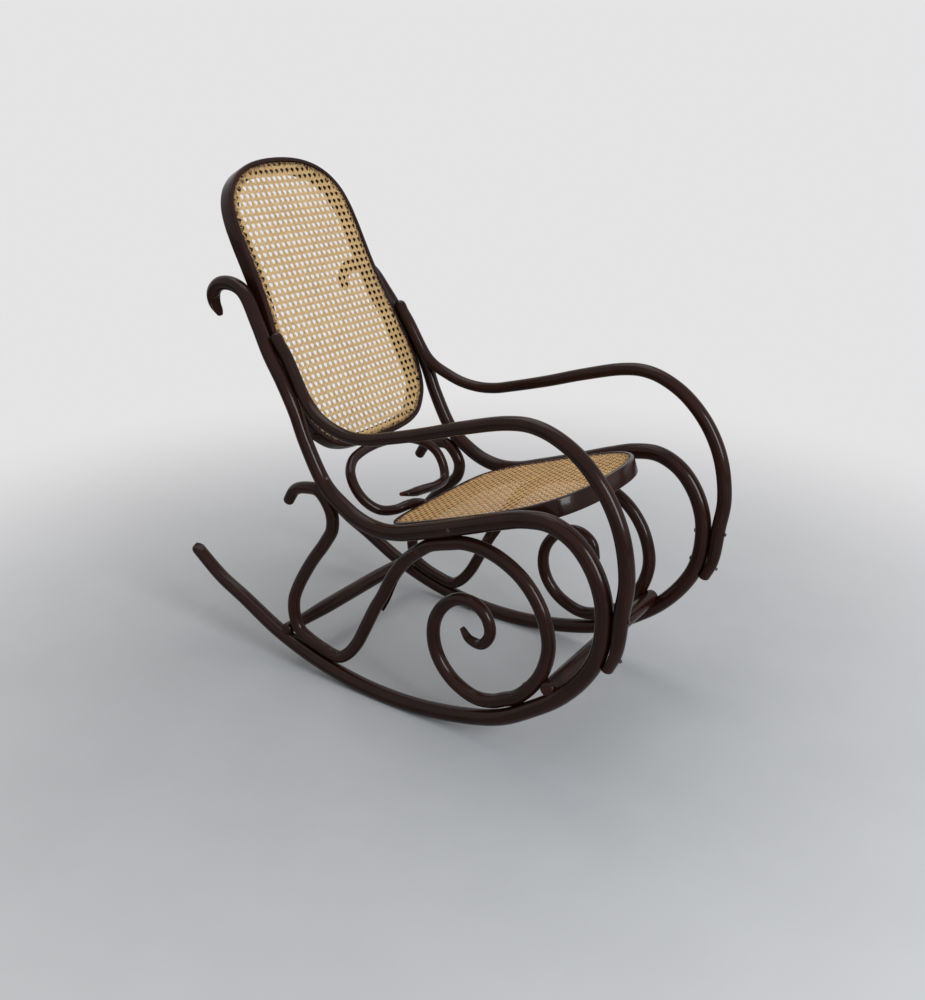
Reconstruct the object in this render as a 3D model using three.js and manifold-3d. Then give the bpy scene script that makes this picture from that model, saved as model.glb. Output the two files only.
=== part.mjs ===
// Bentwood rocking chair with a caned back and a caned seat.
// Millimetres. +Z is up, the sitter faces -Y, X runs across; the sitter's right is -X.
import * as THREE from 'three';
import { mergeGeometries, mergeVertices } from 'three/addons/utils/BufferGeometryUtils.js';
import Module from 'manifold-3d';

const wasm = await Module();
wasm.setup();

// Overall sizes. Outline points below are shares of these.
const CHAIR_LENGTH = 1110;
const SIDE_HEIGHT = 840;
const SIDE_SPACING = 440;
const STILE_LEAN = 22;
const GAP = 0.3;

// Bent rods: half thicknesses.
const HOOK_HALF = 14;
const STILE_HALF = 14.5;
const RAIL_HALF = 16;
const LOOP_HALF = 16.5;
const RUNNER_HALF = 16.5;
const TAIL_HALF = 14.5;
const ARM_HALF = 13;
const ARM_TOP_HALF = 8;
const ARM_TOP_SINK = 2.4;
const ARM_FRONT_HALF = 14.5;
const ARM_TAIL_HALF = 5.5;
const ARCH_HALF = 13.5;
const ARCH_FOOT_HALF = 14.5;
const COIL_END_HALF = 10.5;
const SCROLL_HALF = 13.5;
const SCROLL_TIP_HALF = 11.5;
const RING_HALF = 10.5;
const RING_TIP_HALF = 4;
const TONGUE_HALF = 3;
const HOOK_TIP_HALF = 13;
const ARM_MIDDLE_HALF = 12;
const ROD_NOSE = 6;
const SCARF_STEPS = 6;

// Runner: one arc from behind the front loop to the rising tail.
const RUNNER_BEND = 780;
const RUNNER_MIDDLE = -6;
const RUNNER_STAND = 120;
const RUNNER_FROM_DEG = -21.5;
const RUNNER_TO_DEG = 31;
const RUNNER_STEPS = 6;

// Where the other rods of a side frame touch the main member: shares of CHAIR_LENGTH
// along the rail and the runner, and shares of SIDE_HEIGHT up the stile and the front loop.
const INNER_INSET = 6;
const ARCH_RAIL_SHARE = -0.1486;
const ARCH_FOOT_SHARE = -0.2595;
const SCROLL_FOOT_SHARE = 0.1486;
const SCROLL_STILE_SHARE = 0.5429;
const ARM_TOUCH_SHARES = [0.4357, 0.3571, 0.3119];
const TONGUE_SPRING = 7;
// The two sides were bent by hand: what the left one's scroll and coil differ by.
const LEFT_HOOK_FORWARD = 20;
const LEFT_HOOK_DROP = 18;
const LEFT_COIL_DROP = 11;

// Stretchers.
const STRETCHER_OVERHANG = 8;
const STRETCHER_END_HALF = 10.5;
const STRETCHER_BODY_HALF = 17;
const STRETCHER_NOSE = 6;
const STRETCHER_STEPS = 12;
const STRETCHER_SWELL_SHARES = [0.35, 0.9];
const FRONT_STRETCHER_SHARE = 0.188;
const REAR_STRETCHER_SHARE = 0.2441;

// Back: a closed rim in a leaning plane, from its foot towards its crest. The points are
// shares of CHAIR_LENGTH and SIDE_HEIGHT.
const BACK_FOOT_SHARES = [0.1363, 0.5942];
const BACK_CREST_SHARES = [0.3817, 1.2679];
const BACK_RISE = 628;
const BACK_RIM_DEPTH = 34;
const BACK_RIM_WIDTH = 27;
const BACK_LEDGE = 12;

// Seat: a closed rim in a plane that falls from its front edge to its rear edge.
const SEAT_FRONT_SHARES = [-0.3644, 0.6358];
const SEAT_REAR_SHARES = [0.0145, 0.4624];
const SEAT_RIM_DEPTH = 35;
const SEAT_RIM_WIDTH = 27;
const SEAT_LEDGE = 19;

// Cane: the net stands for every second strand of the weave.
const CANE_PITCH = 15.4;
const NET_THICKNESS = 2.4;
const NET_BORDER = 13;
const NET_STRANDS = 2;
const NET_OPEN_SHARE = 0.6;
const CUT_OVERRUN = 2;
const BINDER_WIDTH = 6;
const BINDER_THICKNESS = 1.4;
const RIM_EDGE = 3;

// Brace ring between the back's foot and the seat's rear.
const RING_REACH = 160;
const RING_SEAT_X = -22;

// Bolts through front loop and arm.
const BOLT_HEAD_HALF = 5.5;
const BOLT_HEAD_RISE = 2.6;
const BOLT_SHARES = [0.425, 0.344];
const HEAD_DOME_SHARE = 0.75;

// How finely the round rods are divided.
const MEMBER_SIDES = 12;
const ARM_SIDES = 10;
const INNER_SIDES = 8;
const LATHE_SIDES = 12;
const PROBE_STEP = 4;
const RING_SPACING = 75;
const CHORD_RISE = 1.25;
const SCARF_GAP = 1.6;
const TURN_PER_RING = THREE.MathUtils.degToRad(11);
const CAP_RINGS = 2;
const OUTLINE_TURN = THREE.MathUtils.degToRad(8);
const OUTLINE_SPACING = 90;

const ACROSS = new THREE.Vector3(1, 0, 0);

// Outline points: share of CHAIR_LENGTH, share of SIDE_HEIGHT, share of STILE_LEAN.
const STILE_SHARES = [
  [0.368, 0.917, 1],
  [0.38, 0.949, 1],
  [0.364, 0.979, 1],
  [0.335, 0.983, 1],
  [0.306, 0.971, 0.97],
  [0.27, 0.908, 0.67],
  [0.238, 0.843, 0.26],
  [0.204, 0.78, 0.04],
  [0.177, 0.713, 0],
  [0.156, 0.644, 0],
  [0.114, 0.546, 0],
  [0.076, 0.507, 0],
  [0.036, 0.481, 0],
  [-0.007, 0.471, 0],
  [-0.051, 0.477, 0],
];
const FRONT_LOOP_SHARES = [
  [-0.108, 0.501],
  [-0.185, 0.537],
  [-0.26, 0.574],
  [-0.306, 0.593],
  [-0.353, 0.598],
  [-0.395, 0.575],
  [-0.427, 0.53],
  [-0.448, 0.469],
  [-0.454, 0.407],
  [-0.447, 0.332],
  [-0.425, 0.269],
  [-0.383, 0.199],
  [-0.331, 0.142],
];
const TAIL_SHARES = [
  [0.419, 0.192],
  [0.491, 0.261],
];
const ARM_SHARES = [
  [0.168, 0.75, 0.72],
  [0.149, 0.726, 0.55],
  [0.124, 0.707, 0.27],
  [0.088, 0.69, 0.14],
  [0.048, 0.683, 0],
  [0.007, 0.688, 0],
  [-0.032, 0.701, 0],
  [-0.113, 0.732, 0],
  [-0.19, 0.765, 0],
  [-0.27, 0.794, 0],
  [-0.312, 0.799, 0],
  [-0.351, 0.788, 0],
  [-0.398, 0.754, 0],
  [-0.443, 0.692, 0],
  [-0.473, 0.615, 0],
  [-0.487, 0.517, 0],
];
// The arm's flattened top: shares of BACK_RISE, of half the SIDE_SPACING, and of ARM_HALF
// for how far it lifts off the back rim.
const ARM_TOP_SHARES = [
  [0.434, 0.911, 0],
  [0.392, 0.909, 0.12],
  [0.35, 0.909, 0.5],
];
// Arch, from its crown forward and down; then the coil.
const ARCH_SHARES = [
  [-0.185, 0.495],
  [-0.223, 0.495],
  [-0.259, 0.483],
  [-0.301, 0.45],
  [-0.332, 0.399],
  [-0.349, 0.336],
  [-0.35, 0.287],
  [-0.333, 0.219],
  [-0.2944, 0.1586],
];
const COIL_SHARES = [
  [-0.19, 0.123, 0],
  [-0.157, 0.142, 0.1],
  [-0.132, 0.179, 0.3],
  [-0.121, 0.226, 0.6],
  [-0.124, 0.276, 0.8],
  [-0.142, 0.32, 1],
  [-0.171, 0.35, 1],
  [-0.205, 0.355, 1],
  [-0.232, 0.331, 1],
  [-0.24, 0.288, 1],
  [-0.223, 0.256, 1],
  [-0.198, 0.262, 1],
  [-0.188, 0.286, 1],
];
// The strut, shared by the arch's tongue and the scroll's end.
const STRUT_SHARES = [
  [0.012, 0.254],
  [-0.007, 0.295],
  [-0.025, 0.34],
  [-0.043, 0.377],
  [-0.066, 0.414],
  [-0.098, 0.45],
];
const CROWN_SHARES = [[-0.117, 0.467]];
// Rear scroll: its third number is the share of the left side's difference.
const SCROLL_HOOK_SHARES = [
  [0.22, 0.476, 1],
  [0.195, 0.51, 1],
  [0.163, 0.524, 1],
];
const SCROLL_SWEEP_SHARES = [
  [0.109, 0.479, 0.95],
  [0.108, 0.433, 0.7],
  [0.126, 0.392, 0.4],
  [0.168, 0.318, 0],
  [0.205, 0.239, 0],
  [0.219, 0.194, 0],
  [0.22, 0.148, 0],
  [0.209, 0.112, 0],
  [0.186, 0.095, 0],
];
const SCROLL_LOOP_SHARES = [
  [0.115, 0.076, 0],
  [0.086, 0.1, 0],
  [0.063, 0.135, 0],
  [0.045, 0.174, 0],
];
// Back outline, right half from the top: share of the half width, share of BACK_RISE.
const BACK_SHARES = [
  [0, 1],
  [0.245, 0.995],
  [0.426, 0.982],
  [0.598, 0.957],
  [0.735, 0.919],
  [0.824, 0.871],
  [0.868, 0.815],
  [0.882, 0.755],
  [0.887, 0.594],
  [0.912, 0.506],
  [0.946, 0.427],
  [0.97, 0.346],
  [0.996, 0.268],
  [0.993, 0.207],
  [0.966, 0.153],
  [0.912, 0.107],
  [0.819, 0.067],
  [0.696, 0.033],
  [0.539, 0.013],
  [0.343, 0.003],
  [0, 0],
];
// Seat outline, right half from the front: share of the half width, share of the depth.
const SEAT_SHARES = [
  [0, 0],
  [0.296, 0.007],
  [0.493, 0.029],
  [0.655, 0.065],
  [0.788, 0.115],
  [0.887, 0.178],
  [0.946, 0.254],
  [0.98, 0.344],
  [0.995, 0.445],
  [1, 0.602],
  [0.995, 0.715],
  [0.98, 0.804],
  [0.936, 0.89],
  [0.837, 0.953],
  [0.69, 0.984],
  [0.443, 0.998],
  [0, 1],
];
// Brace ring: shares of RING_REACH, CHAIR_LENGTH and SIDE_HEIGHT.
const RING_RISE_SHARES = [
  [-0.281, 0.02, 0.463],
  [-0.487, 0.025, 0.467],
  [-0.669, 0.036, 0.462],
  [-0.856, 0.05, 0.469],
  [-0.963, 0.068, 0.489],
  [-1, 0.088, 0.519],
  [-0.956, 0.106, 0.551],
  [-0.781, 0.123, 0.57],
  [-0.531, 0.134, 0.577],
];
const RING_FALL_SHARES = [
  [0.312, 0.139, 0.569],
  [0.575, 0.13, 0.557],
  [0.762, 0.115, 0.538],
  [0.863, 0.1, 0.512],
  [0.881, 0.086, 0.476],
  [0.794, 0.074, 0.448],
  [0.519, 0.063, 0.448],
  [0.169, 0.056, 0.46],
  [-0.156, 0.052, 0.471],
  [-0.412, 0.052, 0.482],
];

// A plane across the chair, through two points of its side view.
function planeThrough([fromLength, fromHeight], [toLength, toHeight]) {
  const run = (toLength - fromLength) * CHAIR_LENGTH;
  const rise = (toHeight - fromHeight) * SIDE_HEIGHT;
  return {
    origin: new THREE.Vector3(0, fromLength * CHAIR_LENGTH, fromHeight * SIDE_HEIGHT),
    tilt: Math.atan2(rise, run),
    reach: Math.hypot(run, rise),
  };
}

// Planes of the back and the seat. Depth runs away from the sitter's side. The seat reaches
// from its front to its rear point.
const backPlane = planeThrough(BACK_FOOT_SHARES, BACK_CREST_SHARES);
const seatPlane = planeThrough(SEAT_FRONT_SHARES, SEAT_REAR_SHARES);

function onPlane(plane, x, along, depth) {
  const point = new THREE.Vector3(x, along, -depth);
  return point.applyAxisAngle(ACROSS, plane.tilt).add(plane.origin);
}

// A point of a side frame; side is -1 for the sitter's right and 1 for the left.
function sidePoint(side, y, z, inset) {
  return new THREE.Vector3(side * (SIDE_SPACING / 2 - inset), y, z);
}

function sidePoints(side, shares, inset) {
  return shares.map(([along, up, lean = 0]) => (
    sidePoint(side, along * CHAIR_LENGTH, up * SIDE_HEIGHT, inset + lean * STILE_LEAN)
  ));
}

// Points of an inner rod, moved forward and down on the left side by their third share.
function innerPoints(side, shares, forward, drop) {
  const left = side > 0 ? 1 : 0;
  return shares.map(([along, up, moved = 0]) => sidePoint(
    side,
    along * CHAIR_LENGTH - left * moved * forward,
    up * SIDE_HEIGHT - left * moved * drop,
    INNER_INSET,
  ));
}

const bend = (points) => new THREE.CatmullRomCurve3(points, false, 'centripetal');

// The place on a path, between two shares of its length, where one coordinate has a value.
function shareAt(path, axis, value, from, to) {
  let low = from;
  let high = to;
  const rising = path.getPointAt(to)[axis] > path.getPointAt(from)[axis];
  for (let i = 0; i < 30; i += 1) {
    const middle = (low + high) / 2;
    if ((path.getPointAt(middle)[axis] < value) === rising) low = middle;
    else high = middle;
  }
  return (low + high) / 2;
}

// The direction in a rod's plane at right angles to it.
function sideways(path, share) {
  return new THREE.Vector3().crossVectors(ACROSS, path.getTangentAt(share)).normalize();
}

// Half thicknesses along a rod from stops: share of length, in the plane, across, shift.
function thicknessAt(stops, share) {
  let k = 1;
  while (k < stops.length - 1 && stops[k][0] < share) k += 1;
  const [s0, plane0, across0 = plane0, shift0 = 0] = stops[k - 1];
  const [s1, plane1, across1 = plane1, shift1 = 0] = stops[k];
  const t = THREE.MathUtils.clamp((share - s0) / (s1 - s0), 0, 1);
  return {
    plane: THREE.MathUtils.lerp(plane0, plane1, t),
    across: THREE.MathUtils.lerp(across0, across1, t),
    shift: THREE.MathUtils.lerp(shift0, shift1, t),
  };
}

// Where rings are set on a path: closer in its bends, with rounded ends. A ring is set at
// each end of the stand, with none between them, and at each seat.
function ringMarks(path, capStart, capEnd, stand, seats) {
  const length = path.getLength();
  const probes = Math.ceil(length / PROBE_STEP);
  const marks = [];
  for (let k = 0; k <= CAP_RINGS; k += 1) {
    const angle = (Math.PI / 2) * (1 - k / CAP_RINGS);
    const share = (capStart / length) * (1 - Math.sin(angle));
    marks.push({ share, inset: capStart * (1 - Math.cos(angle)) });
  }
  let turned = 0;
  let last = capStart / length;
  let before = path.getTangentAt(0);
  for (let i = 1; i < probes; i += 1) {
    const share = i / probes;
    const tangent = path.getTangentAt(share);
    turned += before.angleTo(tangent);
    before = tangent;
    const free = share > (capStart + PROBE_STEP) / length && share < 1 - (capEnd + PROBE_STEP) / length;
    const edge = [...stand, ...seats].find((end) => last < end && share >= end);
    if (edge) {
      marks.push({ share: edge, inset: 0 });
      last = edge;
      turned = 0;
    } else if (stand.length > 0 && last === stand[0]) {
      turned = 0;
    } else if (free && (turned >= TURN_PER_RING || (share - last) * length >= RING_SPACING)) {
      marks.push({ share, inset: 0 });
      last = share;
      turned = 0;
    }
  }
  for (let k = CAP_RINGS; k >= 0; k -= 1) {
    const angle = (Math.PI / 2) * (1 - k / CAP_RINGS);
    const share = 1 - (capEnd / length) * (1 - Math.sin(angle));
    marks.push({ share, inset: capEnd * (1 - Math.cos(angle)) });
  }
  return marks;
}

// A solid body from corner positions and faces, turned outside out where needed.
function closedBody(corners, faces) {
  let volume = 0;
  for (const [a, b, c] of faces) {
    volume += corners[a].dot(new THREE.Vector3().crossVectors(corners[b], corners[c]));
  }
  const index = [];
  for (const [a, b, c] of faces) index.push(a, ...(volume > 0 ? [b, c] : [c, b]));
  const geometry = new THREE.BufferGeometry().setFromPoints(corners);
  geometry.setIndex(index);
  geometry.computeVertexNormals();
  return geometry;
}

// A bent rod: elliptical rings carried along a path without twist.
function rodGeometry(path, stops, sides, capStart, capEnd, stand = [], seats = []) {
  const marks = ringMarks(path, capStart, capEnd, stand, seats);
  const corners = [];
  const faces = [];
  let tangent = path.getTangentAt(0);
  let inPlane = sideways(path, 0);
  marks.forEach(({ share, inset }) => {
    const next = path.getTangentAt(share);
    inPlane.applyQuaternion(new THREE.Quaternion().setFromUnitVectors(tangent, next)).normalize();
    tangent = next;
    const across = new THREE.Vector3().crossVectors(tangent, inPlane);
    const size = thicknessAt(stops, share);
    const keep = 1 - inset / Math.max(size.plane, inset * (1 + 1 / sides));
    const centre = path.getPointAt(share).addScaledVector(inPlane, size.shift);
    for (let j = 0; j < sides; j += 1) {
      const angle = (2 * Math.PI * j) / sides;
      corners.push(centre.clone()
        .addScaledVector(inPlane, keep * size.plane * Math.cos(angle))
        .addScaledVector(across, keep * size.across * Math.sin(angle)));
    }
  });
  const rings = marks.length;
  for (let i = 0; i < rings - 1; i += 1) {
    for (let j = 0; j < sides; j += 1) {
      const a = i * sides + j;
      const b = i * sides + ((j + 1) % sides);
      faces.push([a, b, b + sides], [a, b + sides, a + sides]);
    }
  }
  const lastRing = (rings - 1) * sides;
  for (let j = 1; j < sides - 1; j += 1) {
    faces.push([0, j + 1, j], [lastRing, lastRing + j, lastRing + j + 1]);
  }
  return closedBody(corners, faces);
}

// The main member: hook, stile, rail, front loop and runner in one rod.
const MEMBER_SIZES_AT_SHARES = [
  [0, HOOK_TIP_HALF],
  [0.04, HOOK_HALF],
  [0.16, STILE_HALF],
  [0.24, RAIL_HALF],
  [0.45, LOOP_HALF],
  [0.62, RUNNER_HALF],
  [0.9, RUNNER_HALF],
  [1, TAIL_HALF],
];

function memberPath(side) {
  const points = sidePoints(side, [...STILE_SHARES, ...FRONT_LOOP_SHARES], 0);
  for (let k = 0; k <= RUNNER_STEPS; k += 1) {
    const swing = THREE.MathUtils.lerp(RUNNER_FROM_DEG, RUNNER_TO_DEG, k / RUNNER_STEPS);
    const angle = THREE.MathUtils.degToRad(swing);
    points.push(sidePoint(
      side,
      RUNNER_MIDDLE + RUNNER_BEND * Math.sin(angle),
      RUNNER_HALF + RUNNER_BEND * (1 - Math.cos(angle)),
      0,
    ));
  }
  return bend([...points, ...sidePoints(side, TAIL_SHARES, 0)]);
}

// Stretches of the main member, as shares of its length.
const STILE_SPAN_SHARES = [0.06, 0.22];
const RAIL_SPAN_SHARES = [0.24, 0.38];
const LOOP_SPAN_SHARES = [0.43, 0.6];
const LOWER_LOOP_SPAN_SHARES = [0.43, 0.68];
const RUNNER_SPAN_SHARES = [0.6, 1];

// The centre of a rod against the member's inner side (facing 1) or outer side (facing -1).
// Rise is what the facets stand proud of the bend between two rings.
function against(member, share, half, facing, inset, rise = CHORD_RISE) {
  const reach = thicknessAt(MEMBER_SIZES_AT_SHARES, share).plane + half + GAP + rise;
  const level = Math.sqrt(reach * reach - inset * inset);
  const point = member.getPointAt(share);
  point.x -= Math.sign(point.x) * inset;
  return point.addScaledVector(sideways(member, share), facing * level);
}

// The same, where the member has a share of the chair's length (y) or side height (z).
function touchAt(member, axis, share, span, half, facing, inset) {
  const value = share * (axis === 'y' ? CHAIR_LENGTH : SIDE_HEIGHT);
  return against(member, shareAt(member, axis, value, ...span), half, facing, inset);
}

// The straight step at the runner's middle that the chair stands on.
function standOf(member) {
  return [-1, 1].map((end) => (
    shareAt(member, 'y', RUNNER_MIDDLE + (end * RUNNER_STAND) / 2, ...RUNNER_SPAN_SHARES)
  ));
}

// Where the front and the rear stretcher lie on the member.
function stretcherSeats(member) {
  return [
    shareAt(member, 'z', FRONT_STRETCHER_SHARE * SIDE_HEIGHT, ...LOWER_LOOP_SPAN_SHARES),
    shareAt(member, 'y', REAR_STRETCHER_SHARE * CHAIR_LENGTH, ...RUNNER_SPAN_SHARES),
  ];
}

const ARM_SIZES_AT_SHARES = [
  [0, ARM_TOP_HALF, ARM_HALF],
  [0.03, ARM_TOP_HALF, ARM_HALF],
  [0.12, ARM_MIDDLE_HALF, ARM_HALF],
  [0.3, ARM_MIDDLE_HALF],
  [0.55, ARM_HALF],
  [0.8, ARM_FRONT_HALF],
  [0.905, ARM_FRONT_HALF],
  [1, ARM_TAIL_HALF, ARM_HALF],
];

// The arm: flat top on the back rim, long sweep forward, tapered tail outside the front loop.
function armPath(side, member) {
  const top = ARM_TOP_SHARES.map(([rise, out, lift]) => onPlane(
    backPlane,
    side * out * (SIDE_SPACING / 2),
    rise * BACK_RISE,
    ARM_TOP_SINK - (ARM_TOP_HALF + GAP + lift * ARM_HALF),
  ));
  const tailHalves = [ARM_FRONT_HALF, (ARM_FRONT_HALF + ARM_TAIL_HALF) / 2, ARM_TAIL_HALF];
  const tail = ARM_TOUCH_SHARES.map((height, k) => (
    touchAt(member, 'z', height, LOOP_SPAN_SHARES, tailHalves[k], -1, 0)
  ));
  return bend([...top, ...sidePoints(side, ARM_SHARES, 0), ...tail]);
}

// Arch: tongue along the strut, crown under the rail, foot on the runner, then the coil.
function archPath(side, member) {
  const crown = touchAt(member, 'y', ARCH_RAIL_SHARE, RAIL_SPAN_SHARES, ARCH_HALF, 1, INNER_INSET);
  const foot = touchAt(member, 'y', ARCH_FOOT_SHARE, RUNNER_SPAN_SHARES, ARCH_FOOT_HALF, 1, INNER_INSET);
  return bend([
    ...innerPoints(side, [...STRUT_SHARES, ...CROWN_SHARES], 0, 0),
    crown,
    ...innerPoints(side, ARCH_SHARES, 0, 0),
    foot,
    ...innerPoints(side, COIL_SHARES, 0, LEFT_COIL_DROP),
  ]);
}

// Rear scroll: hook behind the stile, loop on the runner, strut up to the arch.
function scrollPath(side, member) {
  const drop = side > 0 ? LEFT_HOOK_DROP / SIDE_HEIGHT : 0;
  const height = SCROLL_STILE_SHARE - drop;
  return bend([
    ...innerPoints(side, SCROLL_HOOK_SHARES, LEFT_HOOK_FORWARD, LEFT_HOOK_DROP),
    touchAt(member, 'z', height, STILE_SPAN_SHARES, SCROLL_HALF, 1, INNER_INSET),
    ...innerPoints(side, SCROLL_SWEEP_SHARES, LEFT_HOOK_FORWARD, LEFT_HOOK_DROP),
    touchAt(member, 'y', SCROLL_FOOT_SHARE, RUNNER_SPAN_SHARES, SCROLL_HALF, 1, INNER_INSET),
    ...innerPoints(side, SCROLL_LOOP_SHARES, 0, 0),
    ...innerPoints(side, STRUT_SHARES, 0, 0),
  ]);
}

// The long scarf: the line between tongue and strut crosses the rod from side to side.
// Facing 1 gives the arch's tongue, -1 the end of the strut; lowShare is the scarf's low end.
function scarfStops(facing, lowShare, highShare, spring) {
  const stops = [];
  for (let k = 0; k <= SCARF_STEPS; k += 1) {
    const fall = k / SCARF_STEPS;
    const line = ARCH_HALF * (2 * fall - 1);
    const left = facing > 0 ? 1 - fall : fall;
    const half = Math.max(TONGUE_HALF, ARCH_HALF * left);
    const across = Math.max(2 * TONGUE_HALF, ARCH_HALF * Math.sqrt(left));
    const free = spring * Math.max(0, fall - left) ** 2;
    const shift = line + facing * (SCARF_GAP / 2 + half) + facing * free;
    stops.push([THREE.MathUtils.lerp(highShare, lowShare, fall), half, across, shift]);
  }
  return stops.sort((a, b) => a[0] - b[0]);
}

// Stretches of the arch and of the scroll that hold the scarf, as shares of their lengths.
const TONGUE_SPAN_SHARES = [0, 0.2];
const STRUT_SPAN_SHARES = [0.72, 1];

const ARCH_SIZES_AT_SHARES = [
  [0.45, ARCH_HALF],
  [0.55, ARCH_FOOT_HALF],
  [0.8, ARCH_HALF],
  [1, COIL_END_HALF],
];

const SCROLL_SIZES_AT_SHARES = [
  [0, SCROLL_TIP_HALF],
  [0.1, SCROLL_HALF],
];

function archStops(path) {
  const strutTop = STRUT_SHARES[STRUT_SHARES.length - 1][0] * CHAIR_LENGTH;
  const tongueTop = shareAt(path, 'y', strutTop, ...TONGUE_SPAN_SHARES);
  return [...scarfStops(1, 0, tongueTop, TONGUE_SPRING), ...ARCH_SIZES_AT_SHARES];
}

function scrollStops(path) {
  const strutFoot = STRUT_SHARES[0][0] * CHAIR_LENGTH;
  const foot = shareAt(path, 'y', strutFoot, ...STRUT_SPAN_SHARES);
  return [...SCROLL_SIZES_AT_SHARES, ...scarfStops(-1, foot, 1, 0)];
}

// Points and outward directions round a mirrored outline, closer in its bends.
function closedOutline(shares, halfWidth, rise) {
  const half = shares.map(([out, up]) => new THREE.Vector3(out * halfWidth, up * rise, 0));
  const mirrored = half.slice(1, -1).reverse().map((p) => new THREE.Vector3(-p.x, p.y, 0));
  const curve = new THREE.CatmullRomCurve3([...half, ...mirrored], true, 'centripetal');
  const length = curve.getLength();
  const probes = Math.ceil(length / PROBE_STEP);
  const middle = new THREE.Vector3(0, rise / 2, 0);
  const marks = [];
  let turned = OUTLINE_TURN;
  let last = 0;
  let before = curve.getTangentAt(0);
  for (let i = 0; i < probes; i += 1) {
    const share = i / probes;
    const tangent = curve.getTangentAt(share);
    turned += before.angleTo(tangent);
    before = tangent;
    if (turned >= OUTLINE_TURN || (share - last) * length >= OUTLINE_SPACING) {
      const point = curve.getPointAt(share);
      const outward = new THREE.Vector3(tangent.y, -tangent.x, 0).normalize();
      if (outward.dot(point.clone().sub(middle)) < 0) outward.negate();
      marks.push({ point, outward });
      last = share;
      turned = 0;
    }
  }
  return marks;
}

// A closed frame: a profile of [inset, depth] corners carried round an outline.
function frameGeometry(outline, profile) {
  const corners = [];
  const faces = [];
  const count = profile.length;
  outline.forEach(({ point, outward }) => {
    profile.forEach(([inset, depth]) => {
      const corner = point.clone().addScaledVector(outward, -inset);
      corners.push(corner.setZ(-depth));
    });
  });
  for (let i = 0; i < outline.length; i += 1) {
    const next = ((i + 1) % outline.length) * count;
    for (let j = 0; j < count; j += 1) {
      const k = (j + 1) % count;
      faces.push([i * count + j, i * count + k, next + k], [i * count + j, next + k, next + j]);
    }
  }
  return closedBody(corners, faces);
}

// Rim with a ledge for the cane, its outer corners eased.
function rimProfile(width, depth, ledge) {
  const floor = ledgeDepth();
  return [
    [RIM_EDGE, 0],
    [0, RIM_EDGE],
    [0, depth - RIM_EDGE],
    [RIM_EDGE, depth],
    [width, depth],
    [width, floor],
    [width - ledge, floor],
    [width - ledge, 0],
  ];
}

// How deep the ledge is: the net, the binder strip on it, and their gaps.
function ledgeDepth() {
  return NET_THICKNESS + BINDER_THICKNESS + 2 * GAP;
}

function insideOutline(x, y, corners) {
  let inside = false;
  for (let i = 0, j = corners.length - 1; i < corners.length; j = i, i += 1) {
    const a = corners[i];
    const b = corners[j];
    const crosses = (a.y > y) !== (b.y > y);
    if (crosses && x < ((b.x - a.x) * (y - a.y)) / (b.y - a.y) + a.x) inside = !inside;
  }
  return inside;
}

const insetCorners = (outline, inset) => outline.map(({ point, outward }) => (
  new THREE.Vector2(point.x - outward.x * inset, point.y - outward.y * inset)
));

// Position-only geometry to a solid for cutting, and back.
function toSolid(geometry) {
  const bare = geometry.clone();
  bare.deleteAttribute('normal');
  bare.deleteAttribute('uv');
  const merged = mergeVertices(bare);
  return new wasm.Manifold(new wasm.Mesh({
    numProp: 3,
    vertProperties: new Float32Array(merged.attributes.position.array),
    triVerts: new Uint32Array(merged.index.array),
  }));
}

function fromSolid(solid) {
  const mesh = solid.getMesh();
  const geometry = new THREE.BufferGeometry();
  geometry.setAttribute('position', new THREE.BufferAttribute(mesh.vertProperties, 3));
  geometry.setIndex(new THREE.BufferAttribute(mesh.triVerts, 1));
  const facets = geometry.toNonIndexed();
  facets.computeVertexNormals();
  return facets;
}

// The woven cane as a flat net with square gaps.
function netGeometry(outline, inset, rise) {
  const sheet = { depth: NET_THICKNESS, bevelEnabled: false };
  const plate = new THREE.ExtrudeGeometry(new THREE.Shape(insetCorners(outline, inset)), sheet);
  const border = insetCorners(outline, inset + NET_BORDER);
  const pitch = NET_STRANDS * CANE_PITCH;
  const open = NET_OPEN_SHARE * pitch;
  const columns = Math.ceil(SIDE_SPACING / 2 / pitch);
  const rows = Math.floor(rise / pitch);
  const gaps = [];
  for (let i = -columns; i <= columns; i += 1) {
    for (let j = 0; j <= rows; j += 1) {
      const x = i * pitch;
      const y = rise / 2 + (j - rows / 2) * pitch;
      const corners = [[x - open / 2, y - open / 2], [x + open / 2, y - open / 2],
        [x + open / 2, y + open / 2], [x - open / 2, y + open / 2]];
      if (corners.every(([u, v]) => insideOutline(u, v, border))) {
        const gap = new THREE.BoxGeometry(open, open, NET_THICKNESS + 2 * CUT_OVERRUN);
        gaps.push(gap.translate(x, y, NET_THICKNESS / 2));
      }
    }
  }
  return fromSolid(toSolid(plate).subtract(toSolid(mergeGeometries(gaps))));
}

// Brace ring: from the seat's rear edge up, under the back's foot, and down to a free end.
function ringPath() {
  const rise = RING_RISE_SHARES.map(([x, y, z]) => (
    new THREE.Vector3(x * RING_REACH, y * CHAIR_LENGTH, z * SIDE_HEIGHT)
  ));
  const fall = RING_FALL_SHARES.map(([x, y, z]) => (
    new THREE.Vector3(x * RING_REACH, y * CHAIR_LENGTH, z * SIDE_HEIGHT)
  ));
  const seatEdge = seatPlane.reach + RING_HALF + 2 * GAP;
  return bend([
    onPlane(seatPlane, RING_SEAT_X, seatEdge, RIM_EDGE),
    ...rise,
    onPlane(backPlane, 0, -RING_HALF - GAP, BACK_RIM_DEPTH / 2),
    ...fall,
  ]);
}

const RING_SIZES_AT_SHARES = [
  [0, RING_TIP_HALF],
  [0.05, RING_HALF],
  [0.93, RING_HALF],
  [1, RING_TIP_HALF],
];

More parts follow.
